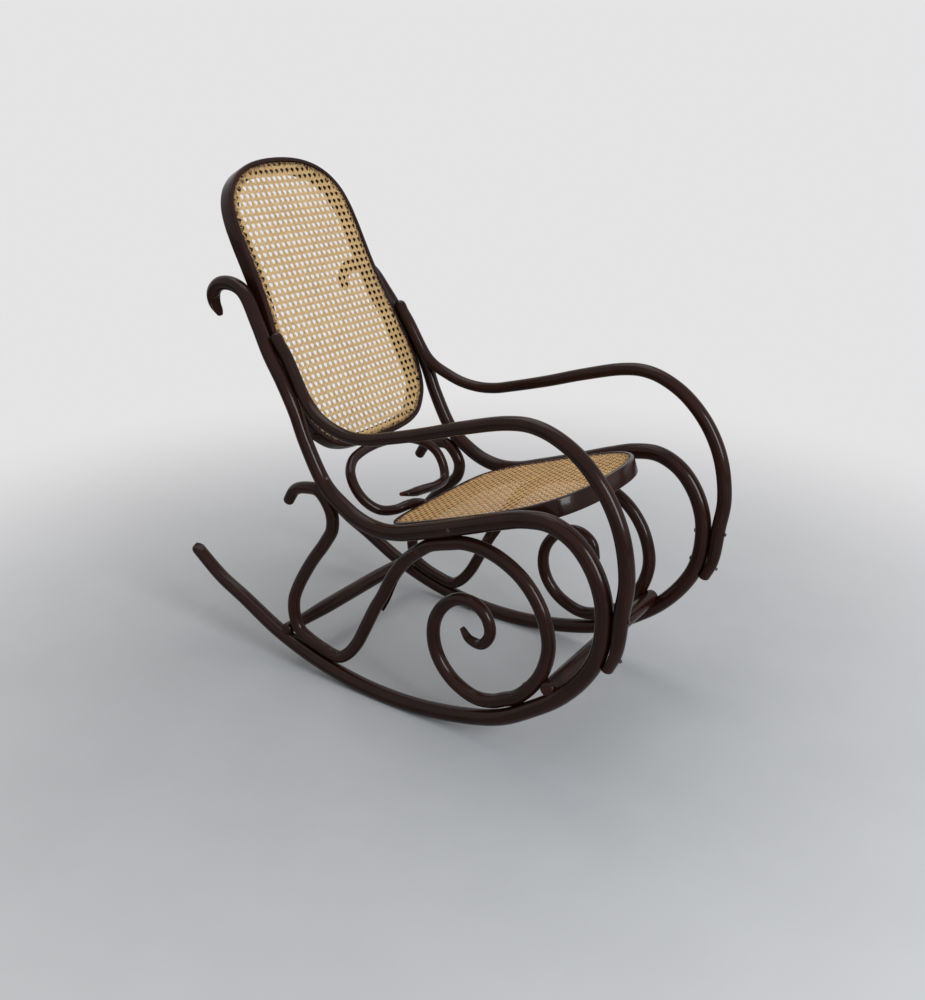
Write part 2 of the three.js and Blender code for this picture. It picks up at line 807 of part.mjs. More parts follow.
// A turned rod with slim ends and a swollen body.
function stretcherGeometry() {
  const half = SIDE_SPACING / 2 + STRETCHER_OVERHANG;
  const profile = [new THREE.Vector2(0, -half)];
  for (let k = 0; k <= STRETCHER_STEPS; k += 1) {
    const share = (2 * k) / STRETCHER_STEPS - 1;
    const swell = 1 - THREE.MathUtils.smoothstep(Math.abs(share), ...STRETCHER_SWELL_SHARES);
    const radius = THREE.MathUtils.lerp(STRETCHER_END_HALF, STRETCHER_BODY_HALF, swell);
    profile.push(new THREE.Vector2(radius, share * (half - STRETCHER_NOSE)));
  }
  profile.splice(1, 0, new THREE.Vector2(STRETCHER_END_HALF - STRETCHER_NOSE / 2, -half));
  profile.push(new THREE.Vector2(STRETCHER_END_HALF - STRETCHER_NOSE / 2, half));
  profile.push(new THREE.Vector2(0, half));
  return new THREE.LatheGeometry(profile, LATHE_SIDES);
}

// A round domed head on its flat face, rising along +Y.
function headGeometry(half, rise) {
  const profile = [
    new THREE.Vector2(0, 0),
    new THREE.Vector2(half, 0),
    new THREE.Vector2(half * HEAD_DOME_SHARE, rise * HEAD_DOME_SHARE),
    new THREE.Vector2(0, rise),
  ];
  return new THREE.LatheGeometry(profile, LATHE_SIDES);
}

const chair = new THREE.Group();
chair.name = 'bentwood_rocking_chair';

function piece(parent, name, geometry, material) {
  const mesh = new THREE.Mesh(geometry, material);
  mesh.name = name;
  parent.add(mesh);
  return mesh;
}

const surface = (name, color, roughness, metalness) => new THREE.MeshStandardMaterial({
  name,
  color,
  roughness,
  metalness,
});
const darkBeech = (name) => surface(name, 0x3a2523, 0.3, 0);

function addHead(name, seat, axis, half, rise) {
  const head = piece(chair, name, headGeometry(half, rise), surface(name, 0x4a3a30, 0.45, 0.7));
  head.position.copy(seat);
  head.quaternion.setFromUnitVectors(new THREE.Vector3(0, 1, 0), axis);
}

// Heads of the bolts that hold the arm's tail, on the front loop's inner side.
function addBolts(member, word) {
  BOLT_SHARES.forEach((height, k) => {
    const share = shareAt(member, 'z', height * SIDE_HEIGHT, ...LOOP_SPAN_SHARES);
    const seat = against(member, share, 0, 1, 0);
    addHead(`arm_bolt_${word}_${k + 1}`, seat, sideways(member, share), BOLT_HEAD_HALF, BOLT_HEAD_RISE);
  });
}

function addSide(side) {
  const word = side < 0 ? 'right' : 'left';
  const member = memberPath(side);
  const arm = armPath(side, member);
  const arch = archPath(side, member);
  const scroll = scrollPath(side, member);
  piece(
    chair,
    `side_member_${word}`,
    rodGeometry(
      member,
      MEMBER_SIZES_AT_SHARES,
      MEMBER_SIDES,
      ROD_NOSE,
      ROD_NOSE,
      standOf(member),
      stretcherSeats(member),
    ),
    darkBeech('member_wood'),
  );
  piece(
    chair,
    `arm_${word}`,
    rodGeometry(arm, ARM_SIZES_AT_SHARES, ARM_SIDES, ROD_NOSE / 2, ROD_NOSE / 2),
    darkBeech('arm_wood'),
  );
  piece(
    chair,
    `arch_coil_${word}`,
    rodGeometry(arch, archStops(arch), INNER_SIDES, TONGUE_HALF / 2, ROD_NOSE),
    darkBeech('arch_wood'),
  );
  piece(
    chair,
    `rear_scroll_${word}`,
    rodGeometry(scroll, scrollStops(scroll), INNER_SIDES, ROD_NOSE, TONGUE_HALF / 2),
    darkBeech('scroll_wood'),
  );
  addBolts(member, word);
  return member;
}

function addStretcher(name, member, share) {
  const rod = piece(chair, name, stretcherGeometry(), darkBeech('stretcher_wood'));
  const seat = against(member, share, STRETCHER_END_HALF, 1, 0, 0);
  rod.position.set(0, seat.y, seat.z);
  rod.rotation.z = Math.PI / 2;
}

// A caned frame in its own plane: rim, net and the binder strip round the net.
function addCanedFrame(word, plane, outline, size) {
  const group = new THREE.Group();
  group.name = `${word}_frame`;
  group.position.copy(plane.origin);
  group.rotation.x = plane.tilt;
  chair.add(group);
  const edge = size.width - size.ledge + GAP;
  piece(
    group,
    `${word}_rim`,
    frameGeometry(outline, rimProfile(size.width, size.depth, size.ledge)),
    darkBeech(`${word}_rim_wood`),
  );
  const net = piece(
    group,
    `${word}_cane`,
    netGeometry(outline, edge, size.rise),
    surface(`${word}_cane`, size.color, 0.6, 0),
  );
  net.position.z = GAP - ledgeDepth();
  const binder = [
    [edge, 0],
    [edge, BINDER_THICKNESS],
    [edge + BINDER_WIDTH, BINDER_THICKNESS],
    [edge + BINDER_WIDTH, 0],
  ];
  piece(
    group,
    `${word}_binder`,
    frameGeometry(outline, binder),
    surface(`${word}_binder_cane`, size.binderColor, 0.6, 0),
  );
}

const rightMember = addSide(-1);
addSide(1);
const [frontSeat, rearSeat] = stretcherSeats(rightMember);
addStretcher('front_stretcher', rightMember, frontSeat);
addStretcher('rear_stretcher', rightMember, rearSeat);
const innerHalf = SIDE_SPACING / 2 - 2 * GAP;
addCanedFrame(
  'back',
  backPlane,
  closedOutline(BACK_SHARES, innerHalf - STILE_HALF, BACK_RISE),
  {
    width: BACK_RIM_WIDTH,
    depth: BACK_RIM_DEPTH,
    ledge: BACK_LEDGE,
    rise: BACK_RISE,
    color: 0xc9a878,
    binderColor: 0x8a6238,
  },
);
addCanedFrame(
  'seat',
  seatPlane,
  closedOutline(SEAT_SHARES, innerHalf - RAIL_HALF, seatPlane.reach),
  {
    width: SEAT_RIM_WIDTH,
    depth: SEAT_RIM_DEPTH,
    ledge: SEAT_LEDGE,
    rise: seatPlane.reach,
    color: 0xc89a62,
    binderColor: 0x7a5530,
  },
);
piece(
  chair,
  'brace_ring',
  rodGeometry(ringPath(), RING_SIZES_AT_SHARES, INNER_SIDES, RING_TIP_HALF / 2, RING_TIP_HALF / 2),
  darkBeech('ring_wood'),
);

// Stand the chair with the middle of its box over the origin.
const box = new THREE.Box3().setFromObject(chair, true);
for (const child of chair.children) {
  child.position.x -= (box.min.x + box.max.x) / 2;
  child.position.y -= (box.min.y + box.max.y) / 2;
  child.position.z -= box.min.z;
}

export default chair;
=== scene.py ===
"""Looks of a bentwood rocking chair with a caned back and seat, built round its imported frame.

Metres. +Z is up, the sitter faces -Y and the sitter's right is -X. Sizes and outlines start from
the part's drawing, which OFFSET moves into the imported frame. Some follow the photograph closer.
"""
import logging
import math
import random
from dataclasses import dataclass, field
from enum import Enum
from functools import cache, cached_property
from typing import Iterable, Sequence

import bpy
import numpy as np
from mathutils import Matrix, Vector


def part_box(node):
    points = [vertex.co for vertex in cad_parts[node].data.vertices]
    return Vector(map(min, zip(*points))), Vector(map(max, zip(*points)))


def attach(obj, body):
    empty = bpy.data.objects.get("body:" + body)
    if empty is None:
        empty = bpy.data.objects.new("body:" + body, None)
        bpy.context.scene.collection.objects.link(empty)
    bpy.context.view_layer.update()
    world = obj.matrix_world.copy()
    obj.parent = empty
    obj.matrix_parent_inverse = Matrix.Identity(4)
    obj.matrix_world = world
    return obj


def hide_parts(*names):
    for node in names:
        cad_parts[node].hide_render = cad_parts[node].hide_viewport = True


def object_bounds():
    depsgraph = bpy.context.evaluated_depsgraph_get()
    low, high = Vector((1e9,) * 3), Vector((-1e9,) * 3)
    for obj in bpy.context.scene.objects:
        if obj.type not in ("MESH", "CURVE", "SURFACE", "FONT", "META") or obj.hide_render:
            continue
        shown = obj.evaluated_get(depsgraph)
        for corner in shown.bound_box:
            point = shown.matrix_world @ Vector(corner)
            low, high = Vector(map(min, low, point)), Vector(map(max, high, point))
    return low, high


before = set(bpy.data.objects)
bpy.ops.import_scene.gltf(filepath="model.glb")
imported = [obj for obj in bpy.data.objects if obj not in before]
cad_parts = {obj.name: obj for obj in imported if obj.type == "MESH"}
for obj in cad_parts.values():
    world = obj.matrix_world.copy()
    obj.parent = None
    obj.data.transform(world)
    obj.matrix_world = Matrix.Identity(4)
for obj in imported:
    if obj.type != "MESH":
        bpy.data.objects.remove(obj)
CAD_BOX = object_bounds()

LOG = logging.getLogger("rocking_chair")

Point = np.ndarray
Socket = bpy.types.NodeSocket
Colour = tuple[float, float, float]
Triple = tuple[float, float, float]
Pair = tuple[float, float]
Shares = Sequence[Sequence[float]]

ACROSS = np.array([1.0, 0.0, 0.0])
SLANT = np.array([0.0, 0.6, 0.8])
TINY = 1e-12

# Driving sizes of the chair. Outline points are shares of these.
CHAIR_LENGTH = 1.110
SIDE_HEIGHT = 0.840
SIDE_SPACING = 0.440
STILE_LEAN = 0.022
GAP = 0.0003
CHORD_RISE = 0.00125
ROD_NOSE = 0.006

# Half thicknesses of the bent rods.
STILE_HALF = 0.0145
RAIL_HALF = 0.016
RUNNER_HALF = 0.0165
ARM_HALF = 0.013
ARM_TOP_HALF = 0.0122
ARM_FRONT_HALF = 0.0145
ARM_TAIL_HALF = 0.0055
ARM_TAIL_SKIN = 0.0125
ARCH_HALF = 0.0135
ARCH_FOOT_HALF = 0.0145
SCROLL_HALF = 0.0135
RING_HALF = 0.0105

# What the slanting cuts leave of a rod's end.
CUT_LEAVES = 0.0015

# Side view outlines: shares of CHAIR_LENGTH, of SIDE_HEIGHT and of a sideways size.
HOOK_SHARES = {
    "right": [(0.3655, 0.9205, 1), (0.384, 0.9415, 1), (0.3855, 0.9645, 1), (0.3685, 0.987, 1),
              (0.336, 0.992, 1), (0.3055, 0.976, 0.97)],
    "left": [(0.366, 0.908, 1), (0.379, 0.94, 1), (0.363, 0.971, 1), (0.334, 0.976, 1),
             (0.305, 0.966, 0.97)],
}
STILE_SHARES = [
    (0.27, 0.908, 0.67), (0.238, 0.843, 0.26), (0.204, 0.78, 0.04), (0.177, 0.713, 0),
    (0.156, 0.644, 0), (0.114, 0.546, 0), (0.076, 0.507, 0), (0.036, 0.481, 0), (-0.007, 0.471, 0),
    (-0.051, 0.477, 0),
]
FRONT_LOOP_SHARES = [
    (-0.108, 0.501), (-0.185, 0.537), (-0.26, 0.574), (-0.306, 0.593), (-0.353, 0.598),
    (-0.395, 0.575), (-0.427, 0.53), (-0.448, 0.469), (-0.454, 0.407), (-0.447, 0.332),
    (-0.425, 0.269), (-0.383, 0.199), (-0.331, 0.142),
]
TAIL_SHARES = [(0.419, 0.192), (0.491, 0.261)]
ARM_SHARES = [
    (0.168, 0.75, 0.72), (0.149, 0.726, 0.55), (0.124, 0.707, 0.27), (0.088, 0.69, 0.14),
    (0.048, 0.683, 0), (0.007, 0.688, 0), (-0.032, 0.701, 0), (-0.113, 0.732, 0), (-0.19, 0.765, 0),
    (-0.27, 0.794, 0), (-0.312, 0.799, 0), (-0.351, 0.788, 0), (-0.398, 0.754, 0),
    (-0.443, 0.692, 0), (-0.473, 0.615, 0), (-0.487, 0.517, 0),
]
ARM_TOP_SHARES = [(0.434, 0.911, 0), (0.392, 0.909, 0.12), (0.35, 0.909, 0.5)]
ARCH_SHARES = [
    (-0.185, 0.495), (-0.223, 0.495), (-0.259, 0.483), (-0.302, 0.45), (-0.334, 0.399),
    (-0.352, 0.336), (-0.3535, 0.286), (-0.3366, 0.2175), (-0.298, 0.1538),
]
COIL_SHARES = [
    (-0.215, 0.1085, 0), (-0.187, 0.1165, 0), (-0.157, 0.139, 0.1), (-0.132, 0.179, 0.3),
    (-0.121, 0.226, 0.6), (-0.124, 0.276, 0.8), (-0.142, 0.32, 1), (-0.171, 0.35, 1),
    (-0.205, 0.355, 1), (-0.232, 0.331, 1), (-0.24, 0.288, 1), (-0.223, 0.256, 1),
    (-0.198, 0.262, 1), (-0.188, 0.286, 1),
]
STRUT_SHARES = [
    (0.012, 0.254), (-0.007, 0.295), (-0.025, 0.34), (-0.043, 0.377), (-0.066, 0.414),
    (-0.098, 0.45),
]
CROWN_SHARES = [(-0.117, 0.467)]
SCROLL_HOOK_SHARES = [(0.2175, 0.470, 1), (0.195, 0.51, 1), (0.163, 0.524, 1)]
SCROLL_SWEEP_SHARES = [
    (0.109, 0.479, 0.95), (0.108, 0.433, 0.7), (0.126, 0.392, 0.4), (0.168, 0.318, 0),
    (0.205, 0.239, 0), (0.219, 0.194, 0), (0.22, 0.148, 0), (0.209, 0.112, 0), (0.186, 0.095, 0),
]
SCROLL_LOOP_SHARES = [
    (0.106, 0.0745, 0), (0.084, 0.0945, 0), (0.0603, 0.1338, 0), (0.0435, 0.1735, 0),
]

# Where the stretchers touch the main member, and stretches of the paths to look in.
FRONT_STRETCHER_SHARE = 0.188
REAR_STRETCHER_SHARE = 0.2441
STILE_SPAN_SHARES = (0.06, 0.22)
RAIL_SPAN_SHARES = (0.24, 0.38)
LOOP_SPAN_SHARES = (0.43, 0.6)
LOWER_LOOP_SPAN_SHARES = (0.43, 0.68)
RUNNER_SPAN_SHARES = (0.6, 1.0)
TONGUE_SPAN_SHARES = (0.0, 0.2)
STRUT_SPAN_SHARES = (0.72, 1.0)
ARCH_LIMB_SPAN_SHARES = (0.2, 0.55)

# Outlines of the caned frames, right half: shares of the half width and of the rise.
BACK_SHARES = [
    (0, 1), (0.245, 0.995), (0.426, 0.982), (0.598, 0.957), (0.735, 0.919), (0.824, 0.871),
    (0.868, 0.815), (0.882, 0.755), (0.887, 0.594), (0.912, 0.506), (0.946, 0.427), (0.97, 0.346),
    (0.996, 0.268), (0.993, 0.207), (0.966, 0.153), (0.912, 0.107), (0.819, 0.067), (0.696, 0.033),
    (0.539, 0.013), (0.343, 0.003), (0, 0),
]
SEAT_SHARES = [
    (0, 0), (0.296, 0.007), (0.493, 0.029), (0.655, 0.065), (0.788, 0.115), (0.887, 0.178),
    (0.946, 0.254), (0.98, 0.344), (0.995, 0.445), (1, 0.602), (0.995, 0.715), (0.98, 0.804),
    (0.936, 0.89), (0.837, 0.953), (0.69, 0.984), (0.443, 0.998), (0, 1),
]
BACK_RISE = 0.628

# The brace ring's outline: shares of its reach, of CHAIR_LENGTH and of SIDE_HEIGHT.
RING_RISE_SHARES = [
    (-0.281, 0.02, 0.463), (-0.487, 0.025, 0.467), (-0.669, 0.036, 0.462), (-0.856, 0.05, 0.469),
    (-0.963, 0.068, 0.489), (-1, 0.088, 0.519), (-0.956, 0.106, 0.551), (-0.781, 0.123, 0.57),
    (-0.531, 0.134, 0.577),
]
RING_FALL_SHARES = [
    (0.312, 0.139, 0.569), (0.575, 0.13, 0.557), (0.762, 0.115, 0.538), (0.863, 0.1, 0.512),
    (0.881, 0.086, 0.476), (0.794, 0.074, 0.448), (0.519, 0.063, 0.448), (0.169, 0.056, 0.46),
    (-0.156, 0.052, 0.471), (-0.412, 0.052, 0.482),
]


def unit(vector: Point) -> Point:
    """A vector of length one in the same direction."""
    return vector / np.linalg.norm(vector)


def looped(rows: Point) -> Point:
    """The rows with the first one again at the end."""
    return np.concatenate([rows, rows[:1]])


def distances(line: Point) -> Point:
    """How far along a line each of its points lies."""
    return np.concatenate([[0], np.cumsum(np.linalg.norm(np.diff(line, axis=0), axis=1))])


class Bend:
    """A smooth path through points, measured by shares of its length."""

    steps_between: int = 40
    tangent_reach: float = 0.0015
    halvings: int = 30

    def __init__(self, points: Iterable[Point], closed: bool = False) -> None:
        """Draws the path.

        Args:
            points: the places that the path passes through.
            closed: whether the last point joins the first.
        """
        knots = [np.asarray(point, float) for point in points]
        if closed:
            knots = [knots[-1], *knots, knots[0], knots[1]]
        else:
            knots = [2 * knots[0] - knots[1], *knots, 2 * knots[-1] - knots[-2]]
        t = np.linspace(0, 1, self.steps_between, endpoint=False)[:, None]
        runs = [self._stretch(*knots[k:k + 4], t) for k in range(len(knots) - 3)]
        self.line = np.concatenate([*runs, knots[-2][None]])
        self.marks = distances(self.line)
        self.length = float(self.marks[-1])

    @staticmethod
    def _stretch(before: Point, start: Point, end: Point, after: Point, t: Point) -> Point:
        """Points of one stretch, spaced by the roots of the distances between its knots.

        Args:
            before: the knot before the stretch.
            start: the knot where it starts.
            end: the knot where it ends.
            after: the knot after it.
            t: a column of shares of the stretch.

        Returns:
            The points.
        """
        a, b, c = (float(np.linalg.norm(q - p)) ** 0.5
                   for p, q in ((before, start), (start, end), (end, after)))
        leave = b * ((start - before) / a - (end - before) / (a + b) + (end - start) / b)
        reach = b * ((end - start) / b - (after - start) / (b + c) + (after - end) / c)
        square = -3 * start + 3 * end - 2 * leave - reach
        cube = 2 * start - 2 * end + leave + reach
        return start + leave * t + square * t ** 2 + cube * t ** 3

    def at(self, share: float | Point) -> Point:
        """The point or points at the given shares of the length."""
        places = np.asarray(share) * self.length
        return np.stack([np.interp(places, self.marks, self.line[:, k]) for k in range(3)], axis=-1)

    def tangent(self, share: float) -> Point:
        """The direction of the path.

        Args:
            share: where on the path.

        Returns:
            The direction, of length one.
        """
        reach = self.tangent_reach / self.length
        low, high = max(share - reach, 0.0), min(share + reach, 1.0)
        return unit(self.at(high) - self.at(low))

    def sideways(self, share: float) -> Point:
        """The direction in the side frame's plane at right angles to the path."""
        return unit(np.cross(ACROSS, self.tangent(share)))

    def share_at(self, axis: int, value: float, low: float, high: float) -> float:
        """Where one coordinate has a value, between two shares of the length.

        Args:
            axis: 0, 1 or 2 for X, Y or Z.
            value: the coordinate that is looked for.
            low: the share where the search starts.
            high: the share where the search ends.

        Returns:
            The share of the length.
        """
        rising = self.at(high)[axis] > self.at(low)[axis]
        for _ in range(self.halvings):
            middle = (low + high) / 2
            if (self.at(middle)[axis] < value) == rising:
                low = middle
            else:
                high = middle
        return (low + high) / 2


@dataclass(frozen=True)
class Stop:
    """A rod's half thicknesses in its plane and across it, and its shift, at one share."""

    share: float
    plane: float
    across: float | None = None
    shift: float = 0.0


def sizes_at(stops: Sequence[Stop], share: float | Point) -> tuple[Point, Point, Point]:
    """Reads a rod's sizes.

    Args:
        stops: the rod's sizes at some shares of its length.
        share: where they are wanted.

    Returns:
        The half thicknesses in the rod's plane and across it, and the shift.
    """
    marks = [stop.share for stop in stops]
    plane = np.interp(share, marks, [stop.plane for stop in stops])
    across = np.interp(share, marks, [stop.across or stop.plane for stop in stops])
    shift = np.interp(share, marks, [stop.shift for stop in stops])
    return plane, across, shift


MEMBER_STOPS = [
    Stop(0, 0.0135), Stop(0.04, 0.0145), Stop(0.16, STILE_HALF), Stop(0.24, RAIL_HALF),
    Stop(0.45, 0.0165), Stop(0.62, RUNNER_HALF), Stop(0.9, RUNNER_HALF), Stop(1, 0.0145),
]
ARM_STOPS = [
    Stop(0, ARM_TOP_HALF, ARM_HALF), Stop(0.03, ARM_TOP_HALF, ARM_HALF),
    Stop(0.12, 0.012, ARM_HALF), Stop(0.3, 0.012), Stop(0.55, ARM_HALF),
    Stop(0.8, ARM_FRONT_HALF), Stop(0.905, ARM_FRONT_HALF), Stop(1, ARM_TAIL_SKIN, ARM_HALF),
]
ARCH_STOPS = [
    Stop(0.15, ARCH_HALF), Stop(0.45, ARCH_HALF), Stop(0.55, ARCH_FOOT_HALF),
    Stop(0.8, ARCH_HALF), Stop(1, 0.0105),
]
SCROLL_STOPS = [Stop(0, 0.0115), Stop(0.1, SCROLL_HALF)]
RING_STOPS = [Stop(0, 0.004), Stop(0.05, RING_HALF), Stop(0.93, RING_HALF), Stop(1, 0.004)]


@dataclass(frozen=True)
class TiltedPlane:
    """A plane across the chair through two points of its side view, given as shares."""

    start: Pair
    end: Pair

    @property
    def origin(self) -> Point:
        """The middle of the plane's first edge."""
        return np.array([0.0, self.start[0] * CHAIR_LENGTH, self.start[1] * SIDE_HEIGHT])

    @property
    def _run(self) -> Point:
        """From the first point to the second."""
        return np.array([0.0, (self.end[0] - self.start[0]) * CHAIR_LENGTH,
                         (self.end[1] - self.start[1]) * SIDE_HEIGHT])

    @property
    def reach(self) -> float:
        """The distance between its two points."""
        return float(np.linalg.norm(self._run))

    @property
    def forward(self) -> Point:
        """The direction from its first edge to its last."""
        return unit(self._run)

    @property
    def face(self) -> Point:
        """The direction towards the sitter."""
        return np.cross(ACROSS, self.forward)

    def at(self, x: float | Point, along: float | Point, depth: float | Point) -> Point:
        """Points of the plane.

        Args:
            x: places across the chair.
            along: distances from the plane's first edge.
            depth: distances behind its face.

        Returns:
            The points.
        """
        x, along, depth = np.broadcast_arrays(x, along, depth)
        return (self.origin + x[..., None] * ACROSS + along[..., None] * self.forward
                - depth[..., None] * self.face)


BACK_PLANE = TiltedPlane((0.1363, 0.5942), (0.3817, 1.2679))
SEAT_PLANE = TiltedPlane((-0.3644, 0.6358), (0.0145, 0.4624))
RIM_EDGE = 0.003
BACK_RIM_DEPTH = 0.034
SEAT_RIM_DEPTH = 0.035


def drawing_offset() -> Point:
    """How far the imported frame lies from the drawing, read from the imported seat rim.

    Returns:
        The distance along each axis.
    """
    low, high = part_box("seat_rim")
    slope = SEAT_PLANE.forward
    lowest_y = SEAT_PLANE.origin[1] + (SEAT_RIM_DEPTH - RIM_EDGE) * slope[2]
    highest_z = SEAT_PLANE.origin[2] + RIM_EDGE * slope[2]
    return np.array([0.0, low[1] - lowest_y, high[2] - highest_z])


OFFSET = drawing_offset()


class Value:
    """A number that a socket gives. Operators on it add Math nodes."""

    def __init__(self, tree: "NodeTree", socket: Socket) -> None:
        """Keeps the socket and the tree that it is in."""
        self.tree = tree
        self.socket = socket

    def math(self, operation: str, first: "Value | float", second: "Value | float") -> "Value":
        """The result of one Math node."""
        return self.tree.value("ShaderNodeMath", {"operation": operation}, {0: first, 1: second})

    def __add__(self, other: "Value | float") -> "Value":
        """This value plus another."""
        return self.math("ADD", self, other)

    __radd__ = __add__

    def __mul__(self, other: "Value | float") -> "Value":
        """This value times another."""
        return self.math("MULTIPLY", self, other)

    __rmul__ = __mul__

    def __sub__(self, other: "Value | float") -> "Value":
        """This value less another."""
        return self.math("SUBTRACT", self, other)

    def __rsub__(self, other: float) -> "Value":
        """A number less this value."""
        return self.math("SUBTRACT", other, self)

    def step(self, low: float, high: float) -> "Value":
        """A smooth step from 0 at low to 1 at high."""
        settings = {"interpolation_type": "SMOOTHSTEP"}
        return self.tree.value("ShaderNodeMapRange", settings, {0: self, 1: low, 2: high})


class NodeTree:
    """The nodes of one material or world."""

    def __init__(self, owner: bpy.types.Material | bpy.types.World) -> None:
        """Empties the owner's nodes, to be filled anew.

        Args:
            owner: the material or world.
        """
        owner.use_nodes = True
        self.nodes = owner.node_tree.nodes
        self.links = owner.node_tree.links
        self.nodes.clear()

    def node(self, kind: str, settings: dict | None = None,
             inputs: dict | None = None) -> bpy.types.Node:
        """Adds a node.

        Args:
            kind: the node's type.
            settings: properties, set first.
            inputs: socket names or numbers with their numbers, colours, sockets or values.

        Returns:
            The node.
        """
        made = self.nodes.new(kind)
        for key, setting in (settings or {}).items():
            setattr(made, key, setting)
        for key, given in (inputs or {}).items():
            given = given.socket if isinstance(given, Value) else given
            if isinstance(given, Socket):
                self.links.new(given, made.inputs[key])
            elif made.inputs[key].type == "RGBA":
                made.inputs[key].default_value = (*given, 1.0)
            else:
                made.inputs[key].default_value = given
        return made

    def value(self, kind: str, settings: dict, inputs: dict, output: int | str = 0) -> Value:
        """Adds a node and wraps one of its outputs."""
        return Value(self, self.node(kind, settings, inputs).outputs[output])

    def attribute(self, name: str) -> Value:
        """A number that each point of the mesh carries."""
        return self.value("ShaderNodeAttribute", {"attribute_name": name}, {}, "Fac")

    def ray(self, kind: str) -> Value:
        """One where the ray is of the given kind, such as Is Camera Ray."""
        return self.value("ShaderNodeLightPath", {}, {}, kind)

    def grain_place(self, along: float, around: float) -> Socket:
        """Coordinates that run with the rod or strand, counted in the given lengths."""
        scale = (1 / along, 1 / around, 1.0)
        return self.scaled(self.node("ShaderNodeUVMap", {"uv_map": "grain"}).outputs[0], scale)

    def scaled(self, place: Socket, scale: Triple) -> Socket:
        """Coordinates times numbers of their own."""
        inputs = {0: place, 1: scale}
        return self.node("ShaderNodeVectorMath", {"operation": "MULTIPLY"}, inputs).outputs[0]

    def object_place(self) -> Socket:
        """Coordinates of the piece itself, in metres."""
        return self.node("ShaderNodeTexCoord").outputs["Object"]

    def noise(self, place: Socket, scale: float, detail: float = 2.0,
              roughness: float = 0.5) -> Value:
        """Smooth noise around one half."""
        inputs = {"Vector": place, "Scale": scale, "Detail": detail, "Roughness": roughness}
        return self.value("ShaderNodeTexNoise", {}, inputs, "Fac")

    def blend(self, share: Value | float, first: object, second: object) -> Socket:
        """A colour between two colours."""
        inputs = {0: share, 6: first, 7: second}
        return self.node("ShaderNodeMix", {"data_type": "RGBA"}, inputs).outputs[2]

    def finish(self, inputs: dict, height: Value, depth: float) -> None:
        """Puts the shader on the material.

        Args:
            inputs: values of the shader's sockets by name.
            height: what the surface's bumps follow.
            depth: how deep the bumps are, in metres.
        """
        bump = self.node("ShaderNodeBump", {},
                         {"Strength": 1.0, "Distance": depth, "Height": height})
        shader = self.node("ShaderNodeBsdfPrincipled", {}, {**inputs, "Normal": bump.outputs[0]})
        self.node("ShaderNodeOutputMaterial", {}, {0: shader.outputs[0]})


@dataclass(frozen=True)
class VarnishedBeech:
    """Dark stained beech under semi-gloss varnish, worn through where hands and feet touch it."""

    stain: Colour = (0.027, 0.0080, 0.0048)
    stain_dark: Colour = (0.011, 0.0034, 0.0020)
    worn: Colour = (0.085, 0.019, 0.011)
    gloss: float = 0.24
    coat: float = 0.18
    streak_size: Pair = (0.07, 0.0022)
    patch_size: Pair = (0.05, 0.014)
    cloud_scale: float = 14.0
    dust_scale: float = 520.0
    bump_depth: float = 0.00012

    def paint(self, tree: NodeTree) -> None:
        """Adds the nodes.

        Args:
            tree: the material's nodes.
        """
        streaks = tree.noise(tree.grain_place(*self.streak_size), 1.0, 3.0, 0.6)
        patchy = tree.noise(tree.grain_place(*self.patch_size), 1.0, 4.0, 0.65)
        place = tree.object_place()
        clouds = tree.noise(place, self.cloud_scale)
        dust = tree.noise(place, self.dust_scale, 2.0, 0.6)
        bare = (tree.attribute("worn") + patchy * 0.9 - 0.9).step(0.0, 0.25)
        tone = (streaks * 0.6 + clouds * 0.5 - 0.05).step(0.25, 0.75)
        colour = tree.blend(bare, tree.blend(tone, self.stain_dark, self.stain), self.worn)
        scuffs = (patchy * 0.6 + dust * 0.4).step(0.45, 0.75)
        tree.finish({
            "Base Color": colour,
            "Roughness": clouds * 0.08 + scuffs * 0.1 + bare * 0.22 + (self.gloss - 0.06),
            "Specular IOR Level": 0.08,
            "Coat Weight": self.coat - bare * self.coat,
            "Coat Roughness": 0.10,
        }, streaks * 0.7 + dust * 0.25 - bare * 0.8, self.bump_depth)


@dataclass(frozen=True)
class SplitCane:
    """Split rattan with its natural shiny skin."""

    pale: Colour = (0.72, 0.50, 0.24)
    deep: Colour = (0.52, 0.32, 0.12)
    spot: Colour = (0.26, 0.13, 0.045)
    gloss: float = 0.38
    fibre_size: Pair = (0.03, 0.0004)
    knot_size: Pair = (0.009, 0.02)
    patch_scale: float = 11.0
    bump_depth: float = 0.00008

    def paint(self, tree: NodeTree) -> None:
        """Adds the nodes.

        Args:
            tree: the material's nodes.
        """
        fibres = tree.noise(tree.grain_place(*self.fibre_size), 1.0, 2.0, 0.6)
        patches = tree.noise(tree.object_place(), self.patch_scale, 3.0, 0.55)
        knots = tree.noise(tree.grain_place(*self.knot_size), 1.0, 1.0).step(0.68, 0.78)
        share = tree.attribute("tone") * 0.55 + fibres * 0.35 + patches * 0.4 - 0.15
        skin = tree.blend(share.step(0.0, 1.0), self.deep, self.pale)
        tree.finish({
            "Base Color": tree.blend(knots * 0.55, skin, self.spot),
            "Roughness": fibres * 0.2 + knots * 0.15 + (self.gloss - 0.05),
        }, fibres, self.bump_depth)


